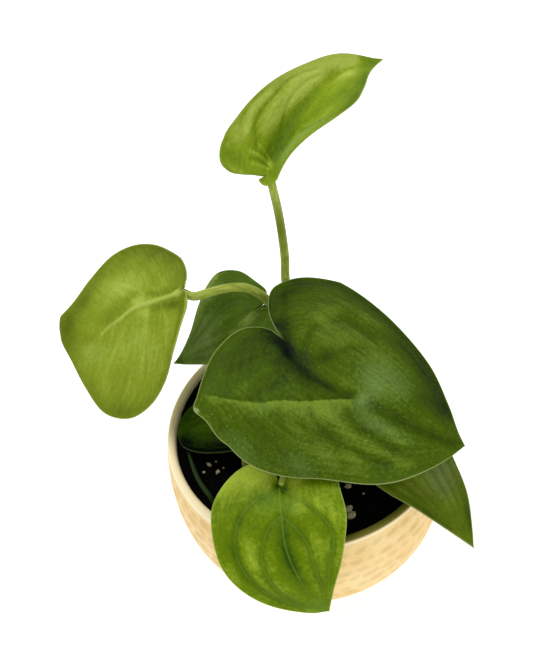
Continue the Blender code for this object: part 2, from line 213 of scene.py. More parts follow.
class Finish:
    """A Principled material with short calls to add and link nodes."""

    def __init__(self, name, roughness=0.5, gloss=0.5):
        self.material = bpy.data.materials.new(name)
        self.material.use_nodes = True
        self.tree = self.material.node_tree
        self.shader = self.tree.nodes["Principled BSDF"]
        self.shader.inputs["Roughness"].default_value = roughness
        self.shader.inputs["Specular IOR Level"].default_value = gloss

    def node(self, kind, links=None, **settings):
        item = self.tree.nodes.new(kind)
        for key, value in settings.items():
            setattr(item, key, value)
        for key, value in (links or {}).items():
            self.put(item.inputs[key], value)
        return item

    def put(self, socket, value):
        if isinstance(value, bpy.types.NodeSocket):
            self.tree.links.new(value, socket)
        else:
            socket.default_value = value

    def attribute(self, name):
        return self.node("ShaderNodeAttribute", attribute_name=name).outputs["Fac"]

    def place(self, kind="Object"):
        return self.node("ShaderNodeTexCoord").outputs[kind]

    def noise(self, where, scale, detail, stretch=None):
        if stretch:
            where = self.node("ShaderNodeMapping", {"Vector": where, "Scale": stretch}).outputs[0]
        return self.node("ShaderNodeTexNoise", {"Vector": where, "Scale": scale, "Detail": detail,
                                                "Roughness": NOISE_ROUGHNESS}).outputs["Fac"]

    def cells(self, where, scale, feature="F1"):
        links = {"Vector": where, "Scale": scale}
        return self.node("ShaderNodeTexVoronoi", links, feature=feature).outputs["Distance"]

    def line(self, value, low, high, out_low=0.0, out_high=1.0, kind="LINEAR"):
        """A straight change from out_low to out_high, held level outside low to high."""
        links = {"Value": value, "From Min": low, "From Max": high, "To Min": out_low, "To Max": out_high}
        return self.node("ShaderNodeMapRange", links, interpolation_type=kind).outputs[0]

    def ramp(self, value, low, high, out_low=0.0, out_high=1.0):
        """The same change with a soft start and end."""
        return self.line(value, low, high, out_low, out_high, kind="SMOOTHSTEP")

    def math(self, operation, a, b):
        return self.node("ShaderNodeMath", {0: a, 1: b}, operation=operation).outputs[0]

    def times(self, a, b):
        return self.math("MULTIPLY", a, b)

    def plus(self, a, b):
        return self.math("ADD", a, b)

    def mix(self, amount, a, b):
        item = self.node("ShaderNodeMix", data_type="RGBA")
        self.put(item.inputs[0], amount)
        self.put(item.inputs[6], a)
        self.put(item.inputs[7], b)
        return item.outputs[2]

    def wash(self, colour, key, amount, shade):
        """The colour with a shade laid over it where the points' value called key is high."""
        return self.mix(self.times(self.attribute(key), amount), colour, shade)

    def bump(self, height, distance, strength):
        links = {"Height": height, "Distance": distance, "Strength": strength}
        return self.node("ShaderNodeBump", links).outputs[0]

    def finish(self, colour, roughness=None, normal=None):
        self.put(self.shader.inputs["Base Color"], colour)
        if roughness is not None:
            self.put(self.shader.inputs["Roughness"], roughness)
        if normal is not None:
            self.put(self.shader.inputs["Normal"], normal)
        return self.material


def srgb(red, green, blue):
    """A colour read as 0 to 255 screen values, turned into the linear light that shaders use."""
    c = np.array([red, green, blue]) / 255
    c = np.where(c <= 0.04045, c / 12.92, ((c + 0.055) / 1.055)**2.4)
    return (float(c[0]), float(c[1]), float(c[2]), 1.0)


print("middle grey in linear light:", round(srgb(128, 128, 128)[0], 3))

# %% [markdown]
# ## Floor and light
# The photo is a cut-out on white, lit from everywhere with a soft light from above. A pale floor, a bright
# even sky, one large lamp overhead and a weaker one at the side give the same soft shade under the leaves.

# %% Floor, sky and lamps
WHITE = (1, 1, 1, 1)
FLOOR_HALF_WIDTH, FLOOR_Z = 3000.0, -0.05
FLOOR_PALE, FLOOR_GLOW = 0.85, 0.6
SKY_STRENGTH = 0.5
PLANT_MIDDLE = (0, 0, 80)
bpy.context.scene.view_settings.view_transform = "Standard"
side = np.array([-1.0, 1.0]) * FLOOR_HALF_WIDTH
floor_x, floor_y = np.meshgrid(side, side, indexing="ij")
floor_points = np.stack([floor_x, floor_y, np.full_like(floor_x, FLOOR_Z)], -1).reshape(-1, 3)
floor = make_piece("floor", floor_points, np.array([[0, 2, 3, 1]]))
pale = Finish("pale_floor", 0.9)
pale.shader.inputs["Emission Color"].default_value = WHITE
pale.shader.inputs["Emission Strength"].default_value = FLOOR_GLOW
floor.data.materials.append(pale.finish((FLOOR_PALE, FLOOR_PALE, FLOOR_PALE, 1)))

world = bpy.data.worlds.new("sky")
bpy.context.scene.world = world
world.use_nodes = True
world.node_tree.nodes["Background"].inputs["Color"].default_value = WHITE
world.node_tree.nodes["Background"].inputs["Strength"].default_value = SKY_STRENGTH


def lamp(name, place, size, power):
    """A square soft lamp in millimetres that looks at the middle of the plant."""
    light = bpy.data.lights.new(name, "AREA")
    light.size = size * MM
    light.energy = power
    item = bpy.data.objects.new(name, light)
    bpy.context.scene.collection.objects.link(item)
    back = unit(np.subtract(place, PLANT_MIDDLE))
    across = unit(np.cross((0, 1, 0.1), back))
    turn = np.eye(4)
    turn[:3, :3] = np.stack([across, np.cross(back, across), back], 1)
    turn[:3, 3] = np.asarray(place) * MM
    item.matrix_world = Matrix(turn.tolist())


lamp("soft_top", place=(-350, 250, 900), size=600, power=4.5)
lamp("soft_side", place=(500, -600, 450), size=500, power=1.5)
print("floor", 2 * FLOOR_HALF_WIDTH, "mm wide, 2 lamps")

# %% [markdown]
# ## The pot
# The real pot is turned clay whose wall was pressed with a fingertip in staggered rows, then glazed. The wall
# is a profile carried round the axis: radius and height are functions of the way along the profile and the
# angle, and each dimple is a shallow bowl taken off the radius. Slow waves shift the rows and stretch the
# bowls, so no two of them are quite alike.

# %% Pot surface
DIMPLES_ROUND = 52
DIMPLE_ROWS = 8
DIMPLE_LOW_Z, DIMPLE_HIGH_Z = 9.5, 59.0
DIMPLE_DEPTH = 0.9
BOWL_WIDTH, BOWL_HEIGHT = 0.49, 0.31
SMOOTH_FOOT_Z, SMOOTH_LIP_Z = 4, 63.2
FOOT_RADIUS, POT_FLOOR_Z = 40.0, 6.0
LIP_RADIUS, LIP_Z = 59.85, 64.1
EDGE_WIDTH, EDGE_LOSS, EDGE_TALLER = 0.75, 0.42, 1.6
FRONT_TURN = 1.05
INNER_SIDE_RADIUS, INNER_SIDE_Z = 59.75, 20
POT_OUTER = [(46.0, 0.0), (50.0, 2.5), (53.5, 7.5), (57.0, 13.5), (59.5, 20.5), (61.2, 30.0), (62.0, 42.0),
             (61.6, 51.0), (60.6, 59.5), (60.0, 63.0), (59.6, 64.8), (58.4, RIM_Z), (57.2, 65.8),
             (56.4, 64.8), (56.2, 62.0)]
POT_INNER = [(56.2, 62.0), (56.4, 42.0), (55.4, 24.0), (50.5, 12.0), (44.0, 6.4), (30.0, POT_FLOOR_Z)]


def dimples(angle, z):
    """How far each point of the wall lies in a bowl, its height within the bowl, and the bowl's size."""
    pitch = (DIMPLE_HIGH_Z - DIMPLE_LOW_Z) / (DIMPLE_ROWS - 1)
    row = np.round((z - DIMPLE_LOW_Z) / pitch)
    wander = 0.13 * np.sin(3.1 * row + 5 * angle) + 0.09 * np.sin(7 * angle + 1.7 * row)
    drift = 0.1 * np.sin(2.3 * row + 3 * angle)
    round_place = angle * DIMPLES_ROUND / (2 * math.pi) + 0.5 * (row % 2) + drift
    across = round_place - np.round(round_place) + 0.1 * np.sin(2.3 * row + 11 * angle)
    up = (z - DIMPLE_LOW_Z) / pitch - row + wander + 0.22 * across * np.sin(1.9 * row + 2 * angle)
    number = np.round(round_place) + 17 * row
    size = 1 + 0.24 * np.sin(2.7 * number) + 0.16 * np.sin(5.1 * number)
    bowl = smooth(1 - (across / (BOWL_WIDTH * size))**2 - (up / (BOWL_HEIGHT * size))**2)
    lift = np.clip(up / (0.30 * size), -1, 1)
    strength = np.where((row >= 0) & (row < DIMPLE_ROWS), 1.0, 0.0)
    strength = strength * smooth((SMOOTH_LIP_Z - z) / 3) * smooth((z - SMOOTH_FOOT_Z) / 5)
    return bowl, lift, size, strength


def pot_piece(columns=576, wall_rows=108, inner_rows=20):
    """The profile turned round the axis inside the solid's box, with the bowls taken off the outer radius."""
    profile = np.vstack([[(0.0, 0.0), (FOOT_RADIUS, 0.0)], spline(POT_OUTER, wall_rows),
                         spline(POT_INNER, inner_rows)[1:], [(0.0, POT_FLOOR_Z)]])
    outer = np.zeros((len(profile), 1))
    outer[2:2 + wall_rows] = 1.0
    angle = np.arange(columns) * 2 * math.pi / columns
    r, z = np.minimum(profile[:, :1], cad_box[1][0] / MM), profile[:, 1:]
    bowl, lift, size, strength = dimples(angle, z)
    strength = outer * strength
    radius = r - DIMPLE_DEPTH * size * strength * bowl
    points = np.stack([radius * np.cos(angle), radius * np.sin(angle), z + 0 * angle], -1)
    # front marks the front of the pot, where the lip gets painted olive shade and a narrower painted
    # highlight.
    front = smooth((np.cos(angle + FRONT_TURN) - 0.35) / 0.4) + 0 * r
    # edge is a painted highlight along the lip's outer edge, narrower at the front.
    thin = EDGE_WIDTH - EDGE_LOSS * front
    edge = outer * np.exp(-((r - LIP_RADIUS) / thin)**2 - ((z - LIP_Z) / (EDGE_TALLER * thin))**2)
    # inside marks the lip's top and inner side, which get painted light and shade.
    inside = smooth((INNER_SIDE_RADIUS - r) / 0.4) * smooth((z - INNER_SIDE_Z) / 20) + 0 * angle
    # The first two values mark the painted highlight in each dimple's bowl and the painted shade on its upper
    # side.
    values = {"bowl_highlight": bowl * strength, "lift": lift * strength * bowl, "edge": edge, "inside": inside,
              "front": front}
    faces = grid_faces(len(profile), columns, wrap=True)
    piece = make_piece("pot_wall", points.reshape(-1, 3), faces, values=values)
    weld(piece)
    return piece


pot = pot_piece()
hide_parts("pot")
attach(pot, "root")
print("pot:", len(pot.data.polygons), "faces")

# %% [markdown]
# The glaze is cream with warm clouds and a few stains. Light and shade are painted on it too: in each dimple
# a painted highlight lightens the bowl and painted shade turns its upper side tan. The lip has a painted
# highlight along its outer edge. Its inner side is painted a lighter cream at the back, where it is lit, and
# olive at the front, for the leaves' shade and their green reflection. All of this follows values stored on
# the points.

# %% Cream glaze
glaze = Finish("cream_glaze", 0.42, gloss=0.12)
where = glaze.place()
cloud, stain = glaze.noise(where, 60, 4), glaze.noise(where, 26, 2, stretch=(1.0, 1.0, 2.6))
colour = glaze.mix(glaze.line(cloud, 0.3, 0.7), srgb(246, 219, 158), srgb(241, 206, 138))
# Painted highlight: each dimple's bowl is lightened.
colour = glaze.wash(colour, "bowl_highlight", 0.35, srgb(252, 229, 176))
# Painted shade: the upper side of each dimple is darkened to tan, unevenly.
uneven = glaze.ramp(glaze.noise(where, 45, 2), 0.35, 0.65, 0.3, 0.85)
bowl_top_shade = glaze.times(glaze.line(glaze.attribute("lift"), 0.0, 0.38), uneven)
colour = glaze.mix(bowl_top_shade, colour, srgb(204, 158, 90))
colour = glaze.mix(glaze.ramp(stain, 0.5, 0.72, 0.0, 0.4), colour, srgb(230, 188, 114))
# Painted light and shade on the lip: a lighter cream at the back, where it is lit, and olive at the front for
# the leaves' shade and their green reflection.
lip = glaze.mix(glaze.attribute("front"), srgb(255, 236, 190), srgb(94, 93, 0))
colour = glaze.wash(colour, "inside", 0.95, lip)
# Painted highlight along the lip's outer edge.
colour = glaze.mix(glaze.attribute("edge"), colour, srgb(255, 246, 214))
speck = glaze.ramp(glaze.cells(where, 420), 0.08, 0.2, 1.0, 0.0)
colour = glaze.mix(glaze.times(speck, 0.12), colour, srgb(206, 160, 94))
fine = glaze.noise(where, 900, 2)
rough = glaze.ramp(cloud, 0.3, 0.7, 0.34, 0.5)
pot.data.materials.append(glaze.finish(colour, rough, glaze.bump(fine, 0.00005, 0.5)))
print("glaze:", len(glaze.tree.nodes), "nodes")

# %% [markdown]
# ## The soil
# Potting soil is black crumbs and dust with white perlite. A round grid gives the mound, and crumbs and
# grains are small rough balls set on it by a seeded draw. The perlite grains that show in the photo are
# listed one by one.

# %% Soil mound
SOIL_EDGE_Z = 62.4
SOIL_CROWN = 2.0
SOIL_RADIUS = 55.85
SOIL_WALL = [(0.0, 6.4), (43.0, 6.8), (50.0, 12.6), (54.9, 24.0), (55.8, 42.0), (SOIL_RADIUS, 58.0)]


def soil_height(x, y):
    """A low crown with three sizes of unevenness made of crossed waves."""
    r2 = (x**2 + y**2) / SOIL_RADIUS**2
    crumbs = (0.35 * np.sin(0.35 * x + 1.1) * np.cos(0.31 * y) + 0.22 * np.sin(0.9 * x + 0.6 * y)
              * np.cos(0.8 * y - 0.5 * x) + 0.16 * np.sin(2.2 * x - 1.1 * y) * np.sin(1.9 * y + 0.7 * x))
    return SOIL_EDGE_Z + SOIL_CROWN * (1 - r2) + crumbs


def on_soil(x, y, lift):
    return np.stack([x, y, soil_height(x, y) + lift], -1)


def soil_piece(rings=70, columns=180):
    """A round grid for the top, and a plain wall and floor below it."""
    angle = np.arange(columns) * 2 * math.pi / columns
    radius = SOIL_RADIUS * np.linspace(0, 1, rings)[::-1, None]
    top = on_soil(radius * np.cos(angle), radius * np.sin(angle), 0)
    r, z = np.array(SOIL_WALL)[:, :1], np.array(SOIL_WALL)[:, 1:]
    below = np.stack([r * np.cos(angle), r * np.sin(angle), z + 0 * angle], -1)
    points = np.vstack([below, top])
    piece = make_piece("soil_mound", points.reshape(-1, 3), grid_faces(len(points), columns, wrap=True))
    weld(piece)
    return piece


soil = soil_piece()
print("soil:", len(soil.data.polygons), "faces")

# %% [markdown]
# A crumb starts as a ball with few corners. All crumbs go into one mesh: the same ball over and over, each
# time turned, squashed, dented and moved. None lies where a stem stands. Every ball draws one spare number
# too, which keeps the draws that follow in their order.

# %% Crumbs
STEM_FEET = np.array([(0.4, 35.7), (2.3, -7.8), (-26.0, -17.0), (-40.2, -33.6)])
STEM_CLEARANCE = 4.5
CRUMB_COUNT, CRUMB_REACH = 1500, 54.0
CRUMB_LIFT = 0.2
draw = np.random.default_rng(7)


def rough_ball(detail):
    """Points and faces of a small ball: an octahedron split detail times and pushed out to the sphere."""
    points = np.array([(1, 0, 0), (-1, 0, 0), (0, 1, 0), (0, -1, 0), (0, 0, 1), (0, 0, -1)], float)
    faces = np.array([(0, 2, 4), (2, 1, 4), (1, 3, 4), (3, 0, 4), (2, 0, 5), (1, 2, 5), (3, 1, 5), (0, 3, 5)])
    for _ in range(detail):
        corners = points[faces]
        middle = [unit_rows(corners[:, i] + corners[:, (i + 1) % 3]) for i in range(3)]
        every = np.concatenate([corners[:, 0], corners[:, 1], corners[:, 2], *middle])
        n = len(faces)
        a, b, c, d, e, f = (np.arange(n) + k * n for k in range(6))
        split = np.concatenate([np.stack(t, 1) for t in ((a, d, f), (d, b, e), (f, e, c), (d, e, f))])
        points, back = np.unique(np.round(every, 9), axis=0, return_inverse=True)
        faces = back.reshape(-1)[split]
    return points, faces


def scatter(name, places, sizes, squash, detail=1, uneven=0.25):
    """One mesh of many rough balls: every ball is the same points, scaled, dented and moved."""
    ball, faces = rough_ball(detail)
    n, m = len(places), len(ball)
    spin = draw.uniform(0, 2 * math.pi, n)[:, None]
    dent = 1 + uneven * draw.uniform(-1, 1, (n, m))
    form = ball[None] * dent[..., None] * squash[:, None, :]
    x = form[..., 0] * np.cos(spin) - form[..., 1] * np.sin(spin)
    y = form[..., 0] * np.sin(spin) + form[..., 1] * np.cos(spin)
    points = np.stack([x, y, form[..., 2]], -1) * sizes[:, None, None] + places[:, None, :]
    every = faces[None] + (np.arange(n) * m)[:, None, None]
    draw.uniform(0, 1, n)
    return make_piece(name, points.reshape(-1, 3), every.reshape(-1, 3))


around = draw.uniform(0, 2 * math.pi, CRUMB_COUNT)
out = CRUMB_REACH * np.sqrt(draw.uniform(0, 1, CRUMB_COUNT))
crumb_x, crumb_y = out * np.cos(around), out * np.sin(around)
to_stems = np.hypot(crumb_x[:, None] - STEM_FEET[:, 0], crumb_y[:, None] - STEM_FEET[:, 1])
clear = np.min(to_stems, 1) > STEM_CLEARANCE
crumb_x, crumb_y = crumb_x[clear], crumb_y[clear]
size = draw.uniform(0.35, 1.1, len(crumb_x))**1.3
crumbs = scatter("soil_crumbs", on_soil(crumb_x, crumb_y, CRUMB_LIFT * size), size,
                 draw.uniform(0.6, 1.2, (len(size), 3)))
for piece in (soil, crumbs):
    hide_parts("soil")
    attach(piece, "root")
print("soil:", len(crumb_x), "crumbs")

# %% Black soil
earth = Finish("black_soil", 0.95, gloss=0.06)
grain = earth.noise(earth.place(), 700, 4)
colour = earth.mix(earth.ramp(grain, 0.45, 0.75), srgb(2, 1, 1), srgb(11, 9, 6))
soil.data.materials.append(earth.finish(colour, None, earth.bump(grain, 0.0006, 1.0)))
crumbs.data.materials.append(soil.data.materials[0])
print("soil finish:", len(earth.tree.nodes), "nodes")

# %% Perlite grains
GRAIN_LIFT = 0.35
GRAIN_FLATNESS = np.array([1.1, 0.9, 0.6])
PERLITE = [(-41.7, -15.4, 1.3), (-38.7, -14.1, 0.6), (-35.5, -17.8, 0.6), (-44.0, -18.5, 0.7),
           (-37.9, -19.8, 1.1), (15.8, -32.0, 1.7), (14.8, -42.8, 1.9), (15.6, -45.4, 2.2),
           (21.7, -35.9, 0.5), (-8.0, 46.0, 1.3), (14.0, 41.0, 1.6), (33.0, 32.0, 1.2), (44.0, 12.0, 1.7),
           (-30.0, 42.0, 1.4), (-14.0, 22.0, 1.2)]
grain_x, grain_y, grain_size = np.array(PERLITE).T
perlite = scatter("perlite", on_soil(grain_x, grain_y, GRAIN_LIFT * grain_size), grain_size,
                  draw.uniform(0.7, 1.1, (len(PERLITE), 3)) * GRAIN_FLATNESS, detail=2, uneven=0.12)
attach(perlite, "root")
chalk = Finish("perlite", 0.85)
where = chalk.place()
dust = chalk.ramp(chalk.noise(where, 900, 3), 0.35, 0.65)
colour = chalk.mix(dust, srgb(176, 168, 128), srgb(120, 112, 80))
pores = chalk.bump(chalk.noise(where, 1500, 2), 0.0002, 0.8)
perlite.data.materials.append(chalk.finish(colour, None, pores))
print("perlite:", len(PERLITE), "grains")

# %% [markdown]
# ## The leaf blades
# A blade is a heart-shaped sheet. Two numbers place a point on it: how far round the margin it lies, from the
# notch to the tip, and how far out from the midrib. Lines that keep the second number are just the way the
# side veins run, so one grid gives the outline, the veins and the relief. The flat heart is then bent: folded
# up along the midrib, arched along its length, and creased where the big leaf hangs over.

# %% Bending a flat leaf


def turn_matrix(heading, pitch, roll):
    """Columns: across the leaf, along it to the tip, and out of its upper face."""
    h, p, r = np.radians([heading, pitch, roll])
    along = np.array([math.cos(h) * math.cos(p), math.sin(h) * math.cos(p), math.sin(p)])
    across = np.array([math.sin(h), -math.cos(h), 0.0])
    up = np.cross(across, along)
    return np.stack([across * math.cos(r) + up * math.sin(r), along,
                     -across * math.sin(r) + up * math.cos(r)], 1)


def bend(points, origin, direction, angle, radius):
    """Roll what lies right of a line down by an angle (up when it is negative) at a bend radius."""
    d = unit(direction)
    n = np.array([d[1], -d[0]])
    s = (points[:, :2] - np.asarray(origin, float)) @ n
    side = np.where(angle < 0, -1.0, 1.0)
    a = np.abs(angle)
    z = side * points[:, 2]
    phi = np.clip(s / radius, 0, a)
    rest = s - radius * phi
    before, past = np.minimum(rest, 0), np.maximum(rest, 0)
    s2 = before + (radius + z) * np.sin(phi) + past * np.cos(a)
    z2 = -radius + (radius + z) * np.cos(phi) - past * np.sin(a)
    moved = points.copy()
    moved[:, :2] += (s2 - s)[:, None] * n
    moved[:, 2] = side * z2
    return moved


def fading(value, way):
    """A plain number, or one that changes evenly from the start (way = 0) to the end (way = 1)."""
    start, end = value if isinstance(value, tuple) else (value, value)
    return start + (end - start) * way


def leaf_surface(leaf, flat, lift):
    """The bent middle surface of a blade, from flat points (across, along) raised by lift."""
    t = np.clip(flat[:, 1] / leaf["length"], 0, 1)
    shift = leaf["sickle"] * t**2 + leaf["bow"] * 4 * t * (1 - t)
    p = np.stack([flat[:, 0] + shift, flat[:, 1], lift], 1)
    p = bend(p, (0, 0), (0, 1), -np.radians(fading(leaf["fold_right"], t)), leaf["fold_radius"])
    p = bend(p, (0, 0), (0, -1), -np.radians(fading(leaf["fold_left"], t)), leaf["fold_radius"])
    p[:, 0] += leaf["curve"] * 4 * t * (1 - t)
    if "ridge" in leaf:
        start, end, angle, radius, fade = leaf["ridge"]
        start, end = np.array(start, float), np.array(end, float)
        along = (p[:, :2] - start) @ (end - start) / np.sum((end - start)**2)
        share = 1 - smooth((along - fade[0]) / (fade[1] - fade[0]))
        p = bend(p, start, end - start, math.radians(angle) * share, radius)
    if "lobe" in leaf:
        p = bend(p, (0, 0), (1, 0), math.radians(leaf["lobe"]), leaf["lobe_radius"])
    if "curl" in leaf:
        start, way, angle, radius = leaf["curl"]
        p = bend(p, start, way, math.radians(angle), radius)
    if "arch" in leaf:
        arch = math.radians(leaf["arch"])
        p = bend(p, (0, 0), (-1, 0), arch, leaf["length"] / arch)
    return p @ turn_matrix(leaf["heading"], leaf["pitch"], leaf["roll"]).T + np.array(leaf["at"])


print("a bend moves", bend(np.array([[9.0, 0, 0]]), (0, 0), (0, 1), 1.0, 5.0).round(1))

# %% [markdown]
# The flat hearts are drawn in millimetres: right and left are the two margins from the notch to the tip.
# Angles are degrees, and a pair of them goes from the base to the tip. Where a leaf names no fold, curve or
# bow, it has none.

# %% The seven leaves
STRAIGHT = dict(sickle=0, bow=0, curve=0, fold_right=0, fold_left=0, fold_radius=10)
LEAVES = {
    "leaf_big": dict(
        at=(-3.5, 2.0, 116.0), length=79, heading=-32, pitch=-5, roll=-4, arch=25, bow=7, fold_left=-15,
        fold_radius=20, ridge=((36.2, -20), (7, 37), 46, 3.5, (0.75, 1.45)), columns=90, rows=220,
        right=[(-1.5, -3), (-3.5, -11), (2, -20.5), (16, -24), (29, -21.8), (35, -20), (37.8, -19.2),
               (40.4, -19), (42.6, -18), (44, -12.5), (48.2, -4), (48.8, 8), (45, 22), (39.5, 34), (31, 49),
               (22, 64), (10, 74)],
        left=[(-1.8, -3), (-8.5, -12), (-18, -19), (-29, -22), (-42, -15), (-49, 4), (-47, 27), (-34, 52),
              (-16.5, 67), (-5, 74.5)]),
    "leaf_left": dict(
        at=(-47.2, 35.7, 118.0), length=75, heading=167, pitch=-25, roll=30, bow=-3, fold_right=-12,
        fold_left=-6, fold_radius=20, lobe=30, lobe_radius=15, curl=((0, 66), (-1, 0), 110, 3), columns=76,
        rows=170,
        right=[(1.5, -3.1), (7, -3.9), (13, -2.2), (21, 4.8), (29.5, 16), (33.2, 28), (31.3, 40), (22, 51.5),
               (11.5, 60.5), (6, 67), (4, 71)],
        left=[(-0.6, -3.1), (-3.2, -3.6), (-7.5, -3), (-15.5, 1.8), (-24.5, 7), (-34.5, 12.6), (-42, 21),
              (-45.5, 33), (-41, 47), (-28, 56.5), (-14, 63.5), (-6.5, 68), (-4, 71)]),
    "leaf_top": dict(
        at=(-4.6, 30.1, 178.3), length=72, heading=41, pitch=30, roll=-15, arch=42, curve=-7,
        fold_right=(64, 0), fold_left=(40, 30), fold_radius=5, columns=72, rows=160,
        right=[(-1.4, -2.5), (-2.2, -3.6), (0.6, -4.3), (4.3, -2.2), (7.5, 2), (12, 8), (19, 15), (25, 23),
               (24.5, 32), (16.5, 45), (7, 58.5)],
        left=[(-2.5, -2.3), (-6, -4.2), (-12, -7.8), (-17.5, -7.2), (-21.5, -0.5), (-19.5, 9), (-15.5, 25),
              (-11, 41), (-7, 58)]),
    "leaf_front": dict(
        at=(-11.2, -40.0, 80.0), length=55, heading=-92, pitch=-5, roll=-18, arch=72, sickle=-7, bow=1,
        fold_right=4, fold_left=-14, columns=80, rows=180,
        right=[(1, -3), (5, -11), (13, -12.5), (20.5, -9), (28, 1), (29.5, 15), (28, 30), (20.4, 43),
               (8.4, 52)],
        left=[(-0.8, -3), (-5, -12), (-13, -15), (-20, -9), (-23.5, 4), (-24.4, 16), (-18, 32), (-7, 46.5)]),
    "leaf_back": dict(
        at=(-19.0, 37.1, 100.0), length=43, heading=192, pitch=-25, roll=10, arch=10, fold_right=5,
        fold_left=5, columns=46, rows=100,
        right=[(0.1, -7.4), (2.2, -9.4), (5, -10.6), (12, -8), (21, -3), (26, 6), (23, 14), (16.5, 21.5),
               (8, 29.5), (2, 38)],
        left=[(-0.6, -7.4), (-3.2, -9.2), (-4.8, -11.8), (-5.2, -15), (-8, -19.5), (-15, -19), (-21, -9),
              (-22, 6), (-18, 18), (-11, 28), (-4, 38)]),
    "leaf_right": dict(
        at=(33.7, -24.4, 86.0), length=53, heading=-60, pitch=-10, roll=0, arch=10, fold_right=5, fold_left=5,
        columns=46, rows=100,
        right=[(1, -3), (6, -11), (15, -13), (20, -5), (20, 6), (16, 19), (11, 28.5), (4.5, 43)],
        left=[(-1, -3), (-6, -10), (-14, -12), (-18.5, -4), (-18, 9), (-15, 21), (-10.8, 35), (-4, 47)]),
    "leaf_low": dict(
        at=(-17.6, -2.8, 75.0), length=37.5, heading=180, pitch=-4, roll=0, arch=8, columns=40, rows=80,
        right=[(1, -3), (5, -9), (13, -10), (18, -3), (19, 10), (17.5, 22), (13.5, 31.5), (6, 36.8)],
        left=[(-1, -3), (-5, -8), (-11, -8.5), (-14, -2), (-14, 8), (-13.5, 19), (-11.5, 28), (-7, 34.8)]),
}
LEAVES = {name: {**STRAIGHT, **leaf} for name, leaf in LEAVES.items()}
print("blade lengths:", [leaf["length"] for leaf in LEAVES.values()])
